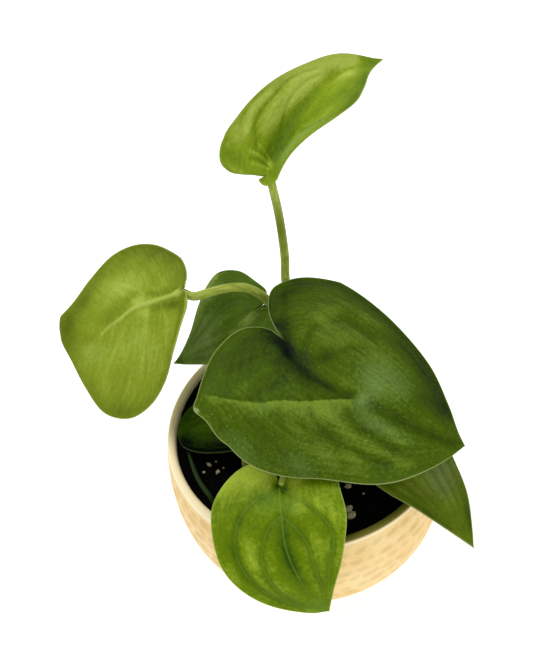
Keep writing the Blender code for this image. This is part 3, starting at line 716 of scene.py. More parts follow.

# %% [markdown]
# Veins, tints and painted light and shade are marked on the same flat heart, as one would draw them on a
# paper
# pattern:
#
# - a stroke of the brush follows a line and has a width, a tint (lighter above zero, darker below) and a rise
#   of the surface; a pair of numbers changes from the line's start to its end. Many strokes are painted shade
#   in valleys and along margins that curve away; others are painted light on lit pleats and ribs
# - a patch is a soft round spot: its place, its two half widths and its tint, which is the leaf's own
#   mottling in some patches, painted light in others and painted shade in others
# - grey, speck, pale and the hollow shade are such spots too: painted sheen, silver dots, the pale underside
#   and painted shade in the notch and other dark gaps
# - a crease paints light on one side and shade on the other: the reach and strength of its lit side, then of
#   its dark side
# - drawn lines are side veins, and arcs are side veins that keep a share of the width
# - edge_drop lowers the margin, and swell raises or sinks the patches
# - the midrib is a line with its own width, the grain says how fine the streaks run across and along, and the
#   comb how many fine strands cross the leaf

# %% Veins and tints of each leaf
UNMARKED = dict(grain=(0.8, 0.08), edge_drop=0.3, swell=0.2, rib_width=0.5, comb=0, creases=[], drawn=[],
                arcs=[], strokes=[], patches=[], grey=[], speck=[], pale=[], hollow_shade=[])
MARKS = {
    # The big leaf's marks are mostly painted light and shade: the crease's lit and shaded sides, the dark
    # valley along the midrib, the dark band inside the margin that curls away, the lighter pleats and lit
    # dome, painted shade at the notch and grey painted sheen. Its specks are its own silver dots.
    "leaf_big": dict(
        grain=(0.9, 0.09), edge_drop=1.0, swell=0.16,
        creases=[
            (2.8, 1.1, 1.6, (0.3, 1.2), [(35.5, -18.5), (32.5, -9), (28.4, 1.2), (21.2, 8.6), (14.5, 17.5),
                (8, 25.4), (4, 30.5), (0.5, 36)])],
        midrib=[(0, 0), (2, 2.5), (3.5, 9), (4, 17), (3, 24.5), (0.5, 32.5), (0, 37), (-0.5, 43), (0.5, 51.5),
                (2, 61.5), (1, 73.5)],
        strokes=[
            (2.4, -0.9, -0.6, [(2, 2.5), (3.5, 9), (4, 17), (3, 24.5), (0.5, 31)]),
            (2.4, -0.85, -0.5, [(-0.4, 40), (-0.5, 44), (-0.5, 50), (0.5, 60), (1, 73.5)]),
            (1.5, -0.2, -0.35, [(31.5, -0.5), (34, 9), (36.5, 23.5)]),
            (1.5, -0.5, -0.4, [(15.5, 20.5), (18.5, 28.5), (19.6, 36), (18.2, 47), (17.5, 57)]),
            (1.6, (-0.3, -0.65), -0.4, [(7.2, 33), (8.6, 38), (9.4, 43), (9.8, 48), (11.4, 57)]),
            (1.6, (0.15, 0.5), 0.3, [(3, 38.5), (4.4, 43), (5.2, 50), (7.4, 58)]),
            (2.2, 0.6, 0.3, [(11.5, 23.5), (13, 33.5), (14, 41), (13.8, 48), (14, 57), (15, 63)]),
            (2.4, 0.35, 0.25, [(24, 16), (27.5, 28), (27, 42)]),
            (3.4, (0.1, 0.4), 0.5, [(-6, 4), (-19, 1), (-31.5, 4), (-38, 12.5), (-37.5, 25.5)]),
            (1.8, (-0.5, -0.1), -0.4, [(-1.5, 7), (-14, 4.5), (-24, 7.5), (-31, 14.5), (-29.5, 26.5),
                (-25.5, 38.5)]),
            (3.2, 0.3, 0.5, [(-5, 10.5), (-13.5, 10), (-22, 13.5), (-24.5, 21.5)]),
            (1.8, (-0.5, -0.1), -0.4, [(-5.5, 15.5), (-14.5, 19), (-23, 26.5), (-27, 34.5)]),
            (5.0, (-0.35, -0.5), 0, [(-33, 26), (-34, 35), (-32, 43), (-27, 51), (-21, 58), (-13, 64)]),
            (5.0, (-0.62, -0.88), 0, [(-24, -19), (-38, -14), (-45.5, -3), (-47.5, 12), (-46, 27),
                (-37.5, 43), (-24.5, 58), (-11.5, 68)]),
            (2.2, -0.4, -0.3, [(-25, -15), (-12.5, -8), (-2, 0)]),
            (1.6, 0.35, 0.2, [(9, 3), (15, -2), (24, -5), (31, -7)]),
            (1.2, -0.3, -0.2, [(13, 7), (22, 2), (28, -1)]),
            (1.4, -0.3, -0.2, [(6, -4), (14, -10), (22, -14)])],
        patches=[(2.4, 1.2, 2.6, 2.6, -2.0), (1.2, -0.6, 2.2, 4.4, -1.2), (0.3, -6.5, 6, 6, -0.8),
                 (-0.6, 36, 1.8, 1.6, 0.9), (-7, -9, 6, 5, -1.3), (-14, -17, 7, 4, -0.9),
                 (8, 5, 4.5, 8, -0.7), (10.5, 0, 4, 4, -0.4), (7, 15, 3.4, 6, -0.6),
                 (-8.5, 17.5, 2.5, 4, -0.4), (-17, 17.5, 5, 4, 0.5), (-13, 13, 3, 3, 0.3), (22, 8, 3, 3, 0.4),
                 (16, 18, 3, 3, 0.5), (10, 26, 3, 3, 0.4), (1, 27.5, 4, 2.5, 0.4), (20.5, 45, 2, 4, 0.5),
                 (20, 57, 5, 4, -0.3), (-22, 6, 5, 4, 0.3), (26, 5.5, 2.6, 2.6, 0.4), (20, 13, 2.4, 2.4, 0.5),
                 (14, 24, 3, 3.6, 0.5), (8, 31, 2.4, 3, 0.4), (-24, 7, 7, 4, 0.6), (-1, 47, 2.5, 4, 0.3),
                 (4, -15, 12, 5, -0.45), (14, -7, 15, 10, -0.5), (20, -20, 12, 5, -0.4), (13, 5, 8, 4, -0.3),
                 (-1, 11, 5, 5, -0.9), (-20, 37, 9, 9, 0.45), (-2, 30, 4, 4, 0.4), (36, 10, 8, 12, -0.2),
                 (-30, -14, 12, 6, -0.4), (31, 0.5, 2.6, 4, 0.6), (18, 24, 3.6, 6, 0.4),
                 (24.5, 35, 3, 6, 0.5), (24, 50, 4, 5, 0.4), (-27, 30, 7, 9, 0.5), (-8, 39, 5, 5, 0.7),
                 (-13, 56, 4, 5, -0.4), (-11, 47, 4, 4, 0.3)],
        grey=[(-15, 38, 7, 8, 0.6), (-5, 38, 6, 4, 0.6), (28, 4, 4, 3, 0.35), (5, 50, 3, 12, 0.35),
              (14, 8, 7, 7, 0.15), (46, 5, 5, 12, 0.4), (36, 31, 5, 10, 0.4), (20, 57, 8, 7, 0.15),
              (6, 44, 3, 8, 0.35), (1, 36.5, 3, 3, 0.7), (-12, 47, 8, 6, 0.3), (-9, 32, 5, 5, 0.3)],
        pale=[(42.2, -17.4, 1.3, 1.7, 0.8)],
        hollow_shade=[(2.4, 1.6, 1.9, 2.6, 1.1), (0.6, -3, 2, 5, 0.75), (4.2, 8, 1.5, 6, 0.45),
                (3.2, 21, 1.5, 6, 0.4), (-2, -4, 2.8, 3.6, 0.6), (-3, 2, 2.6, 2.6, 0.2),
                (1, 7.6, 2.2, 2.6, 0.3), (7, 8, 2.4, 6, 0.2)],
        speck=[(40, -8, 5, 9, 1.0), (38, 6, 7, 12, 0.7), (15, 12, 4, 4, 0.6), (-6, 10, 6, 8, 0.6),
               (-14, 38, 12, 14, 0.8), (12, 50, 16, 20, 0.7), (-14, 10, 14, 14, 0.8), (28, 30, 14, 16, 0.7)]),
    # The left leaf's marks hold painted shadow under and beside the raised midrib near its base, painted
    # shade along the margins and at the tip where the blade curves away, and a painted highlight on the knob
    # where the stalk joins.
    "leaf_left": dict(
        grain=(0.12, 0.7), edge_drop=0.6, comb=24,
        midrib=[(-1, -0.5), (0, 9.5), (0.5, 16), (1, 21), (0, 27), (-2, 32.5), (-3.5, 38.5), (-6.5, 43.5)],
        strokes=[
            (0.8, 1.1, 0.75, [(-1, -0.5), (-0.5, 4), (0, 9.5), (0.5, 16)]),
            (0.8, 0.8, 0.4, [(0.5, 16), (1, 21), (0, 27), (-2, 32.5)]),
            (0.9, 0.4, 0.15, [(-2, 32.5), (-6.5, 43.5)]),
            (1.9, -0.9, -0.35, [(-2.5, 16), (-3.5, 7), (-4.5, 1.5)]),
            (1.5, -0.7, -0.3, [(4.5, 17), (2.6, 8), (1.4, 2)]),
            (3.6, -0.5, -0.5, [(5.5, 26.5), (1.5, 35), (-2.5, 43), (-7, 51)]),
            (0.7, 0.35, 0.1, [(-1.5, 17), (-8, 18.5), (-18.5, 21.5), (-30, 26)]),
            (0.7, 0.3, 0.1, [(-2, 10), (-10.5, 8), (-22, 10)]),
            (0.7, 0.3, 0.1, [(-3, 27.5), (-12, 34.5), (-23.5, 43)]),
            (0.6, 0.35, 0.1, [(2, 14.5), (9, 23), (15, 33)]),
            (0.6, 0.35, 0.1, [(2.5, 9), (9, 16), (17.5, 21)]),
            (0.6, 0.35, 0.1, [(1.5, 4), (10.5, 10), (19.5, 16)]),
            (0.6, 0.3, 0.1, [(1.5, 21.5), (8.5, 29), (13, 36)]),
            (6.5, -0.75, -0.9, [(27.5, 39.5), (31.5, 29), (27, 14), (17, 2.5), (6, -2.5)]),
            (3.6, -0.6, 0, [(22, 46), (12.5, 53.5), (4.5, 60.5)]),
            (1.3, -0.7, 0, [(-1.5, -2), (-6, -0.5), (-14.5, 2.5), (-21, 5)]),
            (0.8, 2.2, 0, [(-4, -3.2), (-8, -2.6), (-15.5, 2), (-24.5, 7.2)])],
        patches=[(13, 36, 8, 8, 0.5), (12.5, 26, 7, 8, 0.45), (15, 10, 4, 4, 0.3), (22.5, 17.5, 6, 6, -0.5),
                 (-15.5, 22.5, 9, 8, 0.4), (-18, 40, 8, 9, 0.35), (-12, 50.5, 5, 6, 0.35),
                 (-2, 63, 9, 7, -1.5), (-26, 35.5, 5, 5, -0.3), (-42, 38, 6, 14, -0.9), (-30, 52, 8, 5, -0.2),
                 (-5.5, 3.5, 2.6, 3, -0.9), (17, 9, 5, 5, -0.5), (9.5, 52.5, 5, 4, -0.8),
                 (3, 21, 2.4, 5, 1.0), (-3, 18, 2.4, 4, 1.0), (29, 39, 5, 5, 0.4), (-3.5, 47.5, 2.6, 6, 0.6),
                 (-0.4, -0.6, 1.5, 1.5, 1.1), (0.4, 1.6, 1.1, 1.6, 1.6)],
        grey=[(-14, 50, 5, 7, 0.4)]),
    # The top leaf's marks hold painted shade in the valley of its fold along the midrib and along the right
    # margin, painted light on its lit left half and left margin, and grey painted sheen on the right half.
    "leaf_top": dict(
        midrib=[(0, 0), (0, 72)],
        strokes=[
            ((4.6, 1.3), (-1.2, -0.6), (-0.5, -0.3), [(-1.4, 6), (-0.9, 11), (0, 16), (0.5, 21), (0.4, 28),
                (0, 34), (-0.5, 41), (-0.2, 49), (0, 57)]),
            (1.1, -0.6, -0.35, [(9, 18), (16, 21), (22, 25.5), (24.5, 31)]),
            (2.4, -0.7, 0, [(24, 30), (21.5, 35.5), (14.5, 47.5), (8, 57)]),
            (2.2, 0.2, 0.3, [(7.5, 25), (11, 31.5), (13.5, 36.5)]),
            (3.2, -0.5, 0, [(2.8, 11), (5, 17), (8.5, 24), (12.5, 33), (12, 40)]),
            (0.8, -0.38, -0.3, [(-8.5, 6), (-12, 11), (-12, 17), (-11, 24), (-10, 33), (-6.5, 44)]),
            (0.8, -0.25, -0.25, [(-1.5, 16), (-4, 21.5), (-5.5, 27.5), (-5.5, 35.5), (-4, 44)]),
            (1.9, (0.2, 0.9), 0, [(-1.6, 8), (-4.6, 13), (-5, 20), (-4.2, 28), (-4, 36)]),
            (0.8, -0.25, -0.2, [(-14.5, 3.5), (-17.5, 8), (-17.5, 15), (-15, 24)]),
            (2.3, (0.9, 0.6), 0.35, [(-6, 8), (-8.5, 13), (-8.5, 20), (-8, 27), (-7.5, 33.5)]),
            (1.5, 0.7, 0.3, [(-14.5, 8), (-15, 14), (-13, 23)]),
            (3.4, (0.5, 1.5), 0, [(-19, 8), (-16, 22), (-12, 36), (-8, 50), (-4, 60)]),
            (0.5, 0.6, 0.35, [(-0.8, 3.2), (-5, 3.5), (-10, 2.5)]),
            (0.5, 0.5, 0.35, [(-1, 4.5), (-4.5, 6), (-8, 6.4)]),
            (0.5, 0.5, 0.35, [(-0.6, 1.8), (-4.5, 0.8), (-9, -1)]),
            (0.6, -0.5, -0.3, [(-1, 2.4), (-5, 2.2), (-9, 0.8)])],
        patches=[(-5, 38, 3.5, 14, 0.6), (-6, 31.5, 3, 5, 0.5), (-9, 6, 4, 4, -0.5), (-13, -3, 5, 3, -0.5),
                 (18, 38, 5, 5, -0.5), (-17, 4, 3, 4, 0.6), (-0.6, 3.4, 1.5, 1.7, 1.4),
                 (-6.5, 9, 2.5, 3, -0.6), (-6, 16, 1.8, 5, 0.4), (2, 52, 3, 5, 1.2), (-3, 56, 3, 6, 0.5),
                 (1.5, 65, 5, 6, -0.75), (-6, 41, 6, 5, 1.1), (12, 50, 4, 5, -0.4), (9, 31, 4, 9, -0.3),
                 (-13, 6, 3, 3, 0.3), (10, 55, 4, 6, -0.4), (-18, -4, 3, 2, -0.3), (-10, -6, 6, 1.6, 0.6)],
        grey=[(5, 8, 3, 5, 0.7), (10, 12, 4, 5, 0.7), (15, 18, 5, 4, 0.5), (20, 22.5, 5, 3, 0.4)]),
    # The front leaf's marks hold painted shade where the stalk meets the blade, painted light on its upper
    # lobes where the big leaf's shadow falls, and grey painted sheen.
    "leaf_front": dict(
        grain=(0.8, 0.1), edge_drop=0.5, rib_width=0.3,
        midrib=[(0.6, 0.5), (0.4, 4.7), (0.5, 13), (1.4, 22.2), (1.6, 29), (1.5, 36.7), (1.4, 44.3), (0, 54)],
        drawn=[
            [(0.6, 0.8), (2, 1.4), (11.2, 4.1), (17.4, 9.8), (20.3, 15.9), (21.5, 23.5), (20.2, 32.2),
                (15.6, 40.9), (8, 49), (1, 54)],
            [(-0.6, 1), (-2.1, 2.5), (-8.8, 7.1), (-14.5, 13.6), (-17.3, 19.5), (-16.4, 26.7), (-12.4, 33.3),
                (-7, 43), (-1, 53)],
            [(0.5, 11.5), (6.3, 15.6), (10, 21.2), (12.5, 27.8), (12.8, 35.5), (10.6, 42.6), (5, 49)],
            [(-0.4, 12.4), (-4.7, 18.2), (-7.2, 26), (-6, 34.3), (-4.2, 44.1), (-1, 51)]],
        strokes=[
            (1.8, -0.5, -0.35, [(0.6, 12), (1.4, 22.2), (1.6, 29), (1.5, 36.7), (1.4, 44.3)]),
            (1.5, -0.5, -0.35, [(17.4, 9.8), (20.3, 15.9), (21.5, 23.5), (20.2, 32.2), (15.6, 40.9),
                (8, 49)]),
            (1.4, -0.4, -0.3, [(6.3, 15.6), (10, 21.2), (12.5, 27.8), (12.8, 35.5), (10.6, 42.6), (5, 49)]),
            (1.2, -0.4, -0.25, [(-8.8, 7.1), (-14.5, 13.6), (-17.3, 19.5), (-16.4, 26.7), (-12.4, 33.3)]),
            (1.2, -0.35, -0.25, [(-4.7, 18.2), (-7.2, 26), (-6, 34.3), (-4.2, 44.1)])],
        patches=[(15.8, 24.5, 2.6, 8, 0.6), (-7, 20, 3, 4, -0.3), (3.4, 26, 3.6, 8, -0.8),
                 (-1, 15, 3, 5, -0.4), (26, 23, 3, 5, -0.3), (-13.5, 22, 2.4, 4, -0.4), (-15, 9.5, 4, 4, 0.5),
                 (-7, 28.5, 3, 4, 0.4), (5, 1, 3, 3, 0.6), (-8, 10, 4, 3.5, 0.3), (23, -2.5, 6, 5, 0.7),
                 (-21, 11, 3, 8, 0.35), (-12, 24, 3, 5, 0.35), (7, 26, 2, 5, 0.4), (-2.5, 38, 1.6, 7, 0.2),
                 (11, 40, 3, 5, 0.3), (1.6, -0.8, 1.5, 1.6, -2.2), (-1.2, 1.2, 1.4, 1.6, -2.0),
                 (18, -9, 9, 5, 1.1), (9.5, -7, 6, 5, 1.4), (-6, -1.5, 3.4, 2.6, 1.0), (-18, 24, 3, 7, 0.3),
                 (26, 30, 3, 9, 0.5), (17, 12, 2.6, 4, -0.5), (0.8, 31, 3.2, 8, -0.85),
                 (-0.6, 19, 2.6, 5, -0.5), (23, 20, 3, 8, -0.4), (-7, 8, 3, 4, 0.4)],
        grey=[(6, 5, 5, 4.5, 0.6), (-4, 9, 5, 4, 0.5), (1, 51, 5, 4, 0.4)],
        speck=[(10, 20, 14, 24, 0.25)]),
    # The back leaf's grey spots and the lighter patches low on it are painted sheen.
    "leaf_back": dict(
        arcs=(0.35, 0.65),
        midrib=[(0, 0), (0, 43)],
        strokes=[
            (1.6, -0.4, -0.3, [(0, 1), (0, 20)]),
            (1.8, 0.8, 0, [(25, 8), (22, 15), (16, 21.5), (8, 29.5)])],
        patches=[(10, 7, 6, 5, -0.7), (-2.5, 2, 3, 5, 0.7), (-13, 9, 6, 7, 0.3), (-18, 2, 4, 10, -0.6),
                 (18, 2, 6, 6, -0.3), (6, 27, 15, 8, 1.1), (4, 34, 9, 5, 0.9), (5, -6, 6, 5, -0.8),
                 (-12, -15, 10, 5, -0.6)],
        grey=[(20, 16, 3.5, 9, 0.9), (3, 27, 12, 8, 1.0), (6, 16, 6, 5, 0.3)],
        speck=[(0, 0, 20, 30, 0.2)]),
    # The right leaf's grey spots and the light patch beside them are painted sheen.
    "leaf_right": dict(
        grain=(0.8, 0.06), arcs=(0.3, 0.55, 0.8),
        midrib=[(0, 0), (0, 53)],
        strokes=[
            (1.6, -0.4, -0.3, [(0, 6), (0, 46)]),
            (1.0, 0.5, 0.2, [(-5, 12), (-6, 22), (-4, 34)]),
            (2.0, -0.9, 0, [(-17, 18), (-11.5, 34), (-5, 46)]),
            (2.2, -0.9, 0, [(14, 24), (10, 31), (4.5, 43)])],
        patches=[(10, 32, 5, 9, -0.5), (-3, 21, 13, 7, 1.1), (-10, 24, 5, 6, 0.6), (-6, 44, 5, 9, -0.9),
                 (12, 15, 4, 5, -0.5), (-4, 37, 4, 6, 0.5)],
        grey=[(-8, 20, 6, 9, 1.1), (-3, 28, 4, 6, 0.4)],
        speck=[(-4, 20, 12, 24, 0.3)]),
    # The low leaf's dark patches are painted shade that fades it to black under the big leaf.
    "leaf_low": dict(
        arcs=(0.3, 0.55, 0.8),
        midrib=[(0, 0), (0, 37.5)],
        patches=[(-14, 22, 7, 18, -2.6), (-5, 34, 6, 4, -1.6), (8, 24, 6, 8, 0.3), (-6, 12, 4, 5, 0.6)]),
}
MARKS = {name: {**UNMARKED, **marks} for name, marks in MARKS.items()}
print("strokes:", {name: len(marks["strokes"]) for name, marks in MARKS.items()})

# %% Spots and lines on a leaf
FAR_AWAY = 99.0
DOTS_A_POINT, STRAIGHT_DOTS, DOTS_AT_ONCE = 14, 40, 8


def bells(flat, spots):
    """The sum of soft spots: strength times exp(-(dx / rx)^2 - (dy / ry)^2)."""
    total = np.zeros(flat.shape[:-1])
    for x, y, rx, ry, strength in spots:
        total += strength * np.exp(-((flat[..., 0] - x) / rx)**2 - ((flat[..., 1] - y) / ry)**2)
    return total


def gap_to(flat, line):
    """Distance from every point to a line, how far along it, and the side (left is +1)."""
    dots = spline(line, DOTS_A_POINT * len(line)) if len(line) > 2 else np.linspace(*line, STRAIGHT_DOTS)
    along = np.gradient(dots, axis=0)
    x, y = flat[..., 0].ravel(), flat[..., 1].ravel()
    nearest, place = np.full(len(x), FAR_AWAY), np.zeros(len(x), int)
    for part in np.array_split(np.arange(len(dots)), max(1, len(dots) // DOTS_AT_ONCE)):
        gap = np.hypot(x[:, None] - dots[part, 0], y[:, None] - dots[part, 1])
        at = gap.argmin(1)
        gap = gap[np.arange(len(x)), at]
        closer = gap < nearest
        nearest[closer], place[closer] = gap[closer], part[at[closer]]
    turn = along[place, 0] * (y - dots[place, 1]) - along[place, 1] * (x - dots[place, 0])
    shape = flat.shape[:-1]
    return nearest.reshape(shape), (place / (len(dots) - 1)).reshape(shape), np.sign(turn).reshape(shape)


print("a spot's middle:", bells(np.zeros((1, 2)), [(0, 0, 1, 1, 0.5)]))

# %% [markdown]
# The blade is pressed down a little along its veins and swells between them, and it thins to its margin.
# Upper and lower faces are the same grid, half a thickness either side of the middle, sewn together along the
# margin.

# %% Blade surface
VEIN_WIDTH, GROOVE_WIDTH, GROOVE_DEPTH = 0.34, 1.6, 0.3
MARGIN_REACH = 3.0
RIM_HALF, BODY_HALF = 0.12, 0.26
MAP_SCALE = 0.01
NOTCH_SPREAD, TIP_PULL = 0.15, 2.2
CREASE_ENDS, CREASE_BLUR = 0.08, 0.9


def leaf_grid(leaf):
    """Flat points: across runs from margin to margin (midrib 0), way from the notch (0) to the tip (1)."""
    across = np.linspace(-1, 1, 2 * leaf["columns"] + 1)
    way = np.linspace(0, 1, leaf["rows"])
    tip = [(0.0, leaf["length"])]
    right, left = spline(leaf["right"] + tip, len(way)), spline(leaf["left"] + tip, len(way))
    down = NOTCH_SPREAD * way + (1 - NOTCH_SPREAD) * way**TIP_PULL
    midrib = np.stack([0 * way, leaf["length"] * down], 1)[:, None]
    edge = np.where(across[None, :, None] >= 0, right[:, None], left[:, None])
    flat = midrib + np.abs(across)[None, :, None] * (edge - midrib)
    width = np.linalg.norm(edge - midrib, axis=2)
    return across, way, flat, width


def vein_gap(marks, c, s, flat, width):
    """Distance of every point to the nearest side vein, drawn or kept as an arc."""
    gap = np.full(c.shape, FAR_AWAY)
    for line in marks["drawn"]:
        gap = np.minimum(gap, gap_to(flat, line)[0])
    for reach in marks["arcs"]:
        gap = np.minimum(gap, np.abs(c - reach * smooth(s / 0.35 + 0.35 * (1 - reach))) * width)
    return gap


def brushwork(marks, flat):
    """Tint, with painted light and shade, and rise from the patches, the strokes and the creases."""
    tint_and_shading, rise = bells(flat, marks["patches"]), np.zeros(flat.shape[:-1])
    for breadth, tone, up, line in marks["strokes"]:
        away, along, _ = gap_to(flat, line)
        bell = np.exp(-(away / fading(breadth, along))**2)
        tint_and_shading, rise = tint_and_shading + fading(tone, along) * bell, rise + fading(up, along) * bell
    for light_reach, light_tone, dark_reach, dark_tone, line in marks["creases"]:
        away, along, hand = gap_to(flat, line)
        ends = smooth(along / CREASE_ENDS) * smooth((1 - along) / CREASE_ENDS)
        lit = smooth(0.5 - hand * away / CREASE_BLUR)
        tint_and_shading = tint_and_shading + ends * (lit * light_tone * np.exp(-away / light_reach)
                              - (1 - lit) * fading(dark_tone, along) * np.exp(-away / dark_reach))
    return tint_and_shading, rise


def leaf_marks(leaf, marks, across, way, flat, width):
    """The values of every point, such as tint with painted light and shade, painted sheen, painted shade in
    hollows and distance to the margin, and how far to lift it.
    """
    c, s = np.abs(across)[None, :] + 0 * width, way[:, None] + 0 * width
    margin = (1 - c) * width
    fade = smooth((1 - s) / 0.2) * smooth(margin / MARGIN_REACH)
    gap = vein_gap(marks, c, s, flat, width)
    tint_and_shading, rise = brushwork(marks, flat)
    groove = np.exp(-(gap / GROOVE_WIDTH)**2) * fade
    lift = (rise - GROOVE_DEPTH * groove) * fade
    lift = lift - marks["edge_drop"] * np.exp(-(margin / MARGIN_REACH)**2) * fade
    lift = lift + marks["swell"] * bells(flat, marks["patches"]) * fade
    rib = np.exp(-(gap_to(flat, marks["midrib"])[0] / marks["rib_width"])**2) * smooth((1.02 - s) / 0.3)
    fine, coarse = marks["grain"]
    # grey holds painted sheen and the hollow spots painted shade; speck and pale are the leaf's own dots and
    # underside.
    values = {key: bells(flat, marks[key]) for key in ("grey", "speck", "pale", "hollow_shade")}
    values |= {"vein": np.exp(-(gap / VEIN_WIDTH)**2) * fade, "groove": groove, "margin": margin,
               "tint_and_shading": tint_and_shading, "rib": rib, "grain_a": across[None, :] * leaf["columns"] * 0.4 * fine + 0 * s,
               "grain_b": s * leaf["length"] * coarse, "comb": marks["comb"] * (s - 0.12 * c**2),
               "strand": smooth((0.8 - s) / 0.3)}
    return values, lift


def blade_piece(name, leaf, marks):
    """A closed thin sheet: the bent middle surface plus and minus half a thickness along its normal."""
    across, way, flat, width = leaf_grid(leaf)
    values, lift = leaf_marks(leaf, marks, across, way, flat, width)
    middle = leaf_surface(leaf, flat.reshape(-1, 2), lift.ravel()).reshape(*width.shape, 3)
    normal = np.cross(np.gradient(middle, axis=0), np.gradient(middle, axis=1))
    normal = normal / np.maximum(np.linalg.norm(normal, axis=2, keepdims=True), 1e-9)
    normal[-1] = unit(normal[-2].mean(0))
    half = (RIM_HALF + BODY_HALF * np.sqrt(np.clip(1 - np.abs(across)**8, 0, 1)))[None, :, None]
    rows, columns = width.shape
    count = rows * columns
    body, index = grid_faces(rows, columns), np.arange(count).reshape(rows, columns)
    rim = np.r_[index[:, -1], index[-1, -2::-1], index[-2::-1, 0], index[0, 1:-1]]
    after = np.roll(rim, -1)
    wall = np.stack([rim, after, after + count, rim + count], 1)
    points = np.vstack([(middle - normal * half).reshape(-1, 3), (middle + normal * half).reshape(-1, 3)])
    points = np.clip(points, np.array(cad_box[0]) / MM, np.array(cad_box[1]) / MM)
    values = {key: np.tile(value.ravel(), 2) for key, value in values.items()}
    values["under"] = np.repeat([0.0, 1.0], count)
    piece = make_piece(name + "_blade", points, np.vstack([body[:, ::-1], body + count, wall[:, ::-1]]),
                       np.tile(flat.reshape(-1, 2) * MAP_SCALE, (2, 1)), values)
    weld(piece)
    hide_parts(name)
    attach(piece, "root")
    return piece


blades = {name: blade_piece(name, leaf, MARKS[name]) for name, leaf in LEAVES.items()}
for name, piece in blades.items():
    print(name, len(piece.data.polygons), "faces")

# %% [markdown]
# Each leaf has its own green: the top and left leaves are light green, brightened further as painted light
# for the light that shines through them, the front one bright, the big, back and right ones dark with silver
# specks, and the low one painted dark for the shade it lies in. The same recipe serves all seven: a base
# clouded by soft noise, a grain that runs along the veins, a fine net of small veins, the drawn veins and
# tints with their painted light and shade, painted sheen, painted shade in the grooves, towards some margins
# and in the hollows, specks, a thin pale margin and a satin skin.

# %% Leaf finish
NET_SCALE, DOT_SCALE = 46, 80
GROOVE_SHADE = 0.35
MARGIN_AMOUNT, MARGIN_WIDTH, EDGE_REACH = 0.7, 0.5, 11.0
LEAF_ROUGHNESS = 0.5
FLECKED, SHEEN_UNEVEN = 0.14, 0.12
DOT_GREEN, PALE_GREEN = srgb(146, 166, 92), srgb(150, 162, 104)
UNDER_GREEN, HOLLOW_SHADE_COLOUR = srgb(140, 160, 96), srgb(2, 12, 0)


def leaf_finish(name, base, light, dark, vein, margin, grey=(110, 135, 85), comb=0.0, vein_amount=0.5,
                rib_amount=0.5, margin_shade=0.0, net=0.14, cloudy=0.28, streaky=0.25, mottled=0.22, gloss=0.08):
    """Clouded green on the blade's flat map; veins, tints, painted light and shade, sheen and margin come
    from its points.
    """
    base, light, dark, vein, margin, grey = (srgb(*c) for c in (base, light, dark, vein, margin, grey))
    f = Finish(name, LEAF_ROUGHNESS, gloss=gloss)
    where = f.place("UV")
    both_ways = {0: f.attribute("grain_a"), 1: f.attribute("grain_b")}
    grain_way = f.node("ShaderNodeCombineXYZ", both_ways).outputs[0]
    cloud, mottle, grain = f.noise(where, 11, 3), f.noise(where, 60, 3), f.noise(grain_way, 0.9, 3)
    tone = f.attribute("tint_and_shading")
    fleck = f.noise(where, 230, 2)
    for pattern, reach in ((cloud, cloudy), (grain, streaky), (mottle, mottled), (fleck, FLECKED)):
        tone = f.plus(tone, f.line(pattern, 0.3, 0.7, -reach, reach))
    # The tint, which holds painted light and shade as well as the leaf's own mottling, moves the colour
    # towards light and dark.
    colour = f.mix(f.line(tone, 0.0, 1.2), base, light)
    colour = f.mix(f.line(tone, 0.0, -1.6), colour, dark)
    # Painted sheen: the grey spots, made a little uneven, lay the grey colour over the green.
    sheen = f.plus(f.attribute("grey"), f.line(mottle, 0.3, 0.7, -SHEEN_UNEVEN, SHEEN_UNEVEN))
    colour = f.mix(f.line(sheen, 0.1, 1.0, 0.0, 0.75), colour, grey)
    lines = f.cells(where, NET_SCALE, "DISTANCE_TO_EDGE")
    colour = f.mix(f.ramp(lines, 0.0, 0.1, net, 0.0), colour, dark)
    if comb:
        wander = f.line(f.noise(where, 7, 1), 0.2, 0.8, -0.5, 0.5)
        wave = f.math("PINGPONG", f.plus(f.attribute("comb"), wander), 0.5)
        strands = f.times(f.ramp(wave, 0.0, 0.22, comb, 0.0), f.ramp(cloud, 0.35, 0.6, 0.2, 1.0))
        colour = f.wash(colour, "strand", strands, vein)
    # Painted shade in the grooves along the veins.
    colour = f.wash(colour, "groove", GROOVE_SHADE, dark)
    colour = f.wash(colour, "vein", vein_amount, vein)
    colour = f.wash(colour, "rib", rib_amount, vein)
    # Painted shade towards the margin, where the blade curves away.
    if margin_shade:
        colour = f.mix(f.ramp(f.attribute("margin"), 0.0, EDGE_REACH, margin_shade, 0.0), colour, dark)
    dots = f.ramp(f.cells(where, DOT_SCALE), 0.12, 0.32, 1.0, 0.0)
    few = f.ramp(f.noise(where, 120, 1), 0.54, 0.68)
    colour = f.wash(colour, "speck", f.times(dots, few), DOT_GREEN)
    rim = f.ramp(f.attribute("margin"), MARGIN_WIDTH * 0.3, MARGIN_WIDTH, MARGIN_AMOUNT, 0.0)
    colour = f.mix(rim, colour, margin)
    colour = f.mix(f.line(f.attribute("pale"), 0.25, 0.6), colour, PALE_GREEN)
    # Painted shade in the notch and other hollows.
    colour = f.mix(f.line(f.attribute("hollow_shade"), 0.0, 1.0), colour, HOLLOW_SHADE_COLOUR)
    colour = f.mix(f.attribute("under"), colour, f.mix(0.5, base, UNDER_GREEN))
    rough = f.ramp(mottle, 0.3, 0.7, LEAF_ROUGHNESS - 0.05, LEAF_ROUGHNESS + 0.08)
    skin = f.plus(f.plus(mottle, grain), f.ramp(lines, 0.0, 0.12, -0.5, 0.0))
    return f.finish(colour, rough, f.bump(skin, 0.00016, 0.7))


